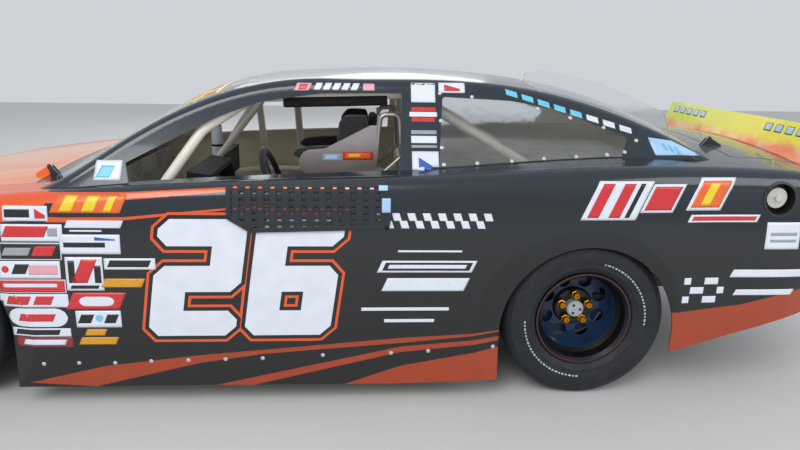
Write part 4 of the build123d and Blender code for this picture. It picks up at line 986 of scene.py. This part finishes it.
nut = turn([(0.0, 0.790), (0.0062, 0.790), (0.0062, 0.799), (0.0135, 0.799), (0.0160, 0.795), (0.0160, 0.780),
            (0.0200, 0.778), (0.0200, 0.772), (0.0, 0.772)], 6)
dimple = turn([(0.0, 0.7942), (CAP_HOLE_R * 0.8, 0.7944), (CAP_HOLE_R, 0.7948), (CAP_HOLE_R, 0.7925),
               (0.0, 0.7925)], 24)
nuts = nut + round_hub(5, NUT_CIRCLE)
dimples = dimple + round_hub(3, CAP_HOLE_CIRCLE, 0.5)
for name, body, facing, hub in wheels():
    build("nuts_" + name, [nuts * facing + hub], nut_gold, body, smooth=20)
    # Shallow dimples in the cap, painted near black as the shade inside its holes
    build("cap_holes_" + name, [dimples * facing + hub], hole_shade_black, body)


# Tyres: slicks on 15 inch rims, moulded in smooth rubber with a fine ring from the mould, and scuffed on the
# shoulder. The walls bulge past the flange and carry two arcs of plain pale dashes in printed ink.

# Half of the tyre's profile: radius and distance from its middle in metres, from the bead to the tread
TYRE_HALF = [(0.1970, 0.1080), (0.1990, 0.1130), (0.2085, 0.1150), (0.2105, 0.1215), (0.2160, 0.1290),
             (0.2250, 0.1360), (0.2350, 0.1405), (0.2362, 0.1418), (0.2398, 0.1428), (0.2410, 0.1424),
             (0.2550, 0.1475), (0.2720, 0.1510), (0.2890, 0.1518), (0.3050, 0.1495), (0.3180, 0.1455),
             (0.3192, 0.1460), (0.3222, 0.1448), (0.3232, 0.1435), (0.3340, 0.1380), (0.3430, 0.1300),
             (0.3495, 0.1200), (0.3528, 0.1080), (0.3538, 0.0900), (0.3540, 0.0400)]
TYRE_STEPS, INK_LIFT = 120, 0.0005
# First and last angle of each arc, in degrees from the front upwards. The dashes' widths follow in turn
DASH_ARCS = ((-88, 1), (104, 186))
DASH_WIDTHS, DASH_GAP, DASH_RADII = (2.4, 1.5, 2.9, 1.9), 1.4, (0.2592, 0.2658)
# Warm slick rubber is dull and blue-grey, paler where it is scuffed, and the ink on it is flat and chalky
rubber = finish("slick_tyre_rubber", scuffed("171b21", "24282e", 50), 0.62, 2.0, 0.25)
pale_ink = finish("pale_tyre_ink", "b3bdc6", 0.65, 1.0, 0.1)


def dash(first, width):
    """Ring sector on the wall: x and z from radius and angle, and y from the profile and the ink's lift."""
    radius, angle = np.meshgrid(np.linspace(*DASH_RADII, 3), np.radians(np.linspace(first, first + width, 4)))
    wall = WHEEL_Y + INK_LIFT + np.interp(radius, *zip(*TYRE_HALF))
    return np.stack([radius * np.cos(angle), wall, radius * np.sin(angle)], -1)


dashes = []
for first, last in DASH_ARCS:
    while first < last:
        width = DASH_WIDTHS[len(dashes) % len(DASH_WIDTHS)]
        dashes.append(dash(first, width))
        first += width + DASH_GAP
profile = [(r, WHEEL_Y + y) for r, y in TYRE_HALF] + [(r, WHEEL_Y - y) for r, y in reversed(TYRE_HALF)]
carcass = turn(profile + profile[:1], TYRE_STEPS)
for name, body, facing, hub in wheels():
    tyre = build("slick_" + name, [carcass * facing + hub], rubber, body, smooth=60)
    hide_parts(body.replace("wheel", "tyre"))
    build("wall_dashes_" + name, [part * facing + hub for part in dashes], pale_ink, body)


# Floor, light and camera: a pale matt studio floor under broad soft lamps,
# and the camera at the photograph's place and angle.

bpy.context.scene.view_settings.view_transform = "Standard"
FLOOR_HALF = 14.0
floor_corners = [(FLOOR_HALF * x, FLOOR_HALF * y, 0.0) for x, y in ((-1, -1), (1, -1), (1, 1), (-1, 1))]
floor_mesh = bpy.data.meshes.new("floor")
floor_mesh.from_pydata(floor_corners, [], [(0, 1, 2, 3)])
floor_mesh.materials.append(finish("pale_studio_floor", "cfcfcd", 0.8, 4.0, 0.02, 0.01))
place("studio_floor", floor_mesh)

world = bpy.data.worlds.new("studio")
bpy.context.scene.world = world
world.use_nodes = True
sky = world.node_tree
sky.nodes.clear()
add(sky, "OutputWorld", {"Surface": add(sky, "Background", {"Color": linear("e4e8ee"), "Strength": 0.8})})

# Each lamp: name, place, width in metres and power in watts. All face the middle of the car
LAMPS = [("key", (2.5, 7.0, 7.0), 5.0, 380), ("fill", (-6.0, 5.0, 4.0), 4.0, 120),
         ("back", (0.0, -8.0, 6.0), 6.0, 200)]
LIT_POINT = Vector((0, 0, 0.6))
for name, spot, size, watts in LAMPS:
    lamp = bpy.data.lights.new(name, "AREA")
    lamp.size, lamp.energy = size, watts
    holder = place(name, lamp)
    holder.location = spot
    holder.rotation_euler = (LIT_POINT - Vector(spot)).to_track_quat("-Z", "Y").to_euler()

CAMERA_PLACE, LENS_MM, SENSOR_MM = (-0.348, 3.482, 1.472), 29.286, 36.0
YAW, PITCH, ROLL = math.radians(-3.232), math.radians(15.090), math.radians(0.966)
ahead = np.array([math.sin(YAW) * math.cos(PITCH), -math.cos(YAW) * math.cos(PITCH), -math.sin(PITCH)])
across = np.cross(ahead, (0, 0, 1))
across /= np.linalg.norm(across)
upward = np.cross(across, ahead)
right = math.cos(ROLL) * across + math.sin(ROLL) * upward
top = math.cos(ROLL) * upward - math.sin(ROLL) * across
camera_data = bpy.data.cameras.new("camera")
camera_data.lens, camera_data.sensor_width = LENS_MM, SENSOR_MM
camera = place("camera", camera_data)
camera.matrix_world = Matrix([*np.column_stack([right, top, -ahead, CAMERA_PLACE]), (0, 0, 0, 1)])
bpy.context.scene.camera = camera
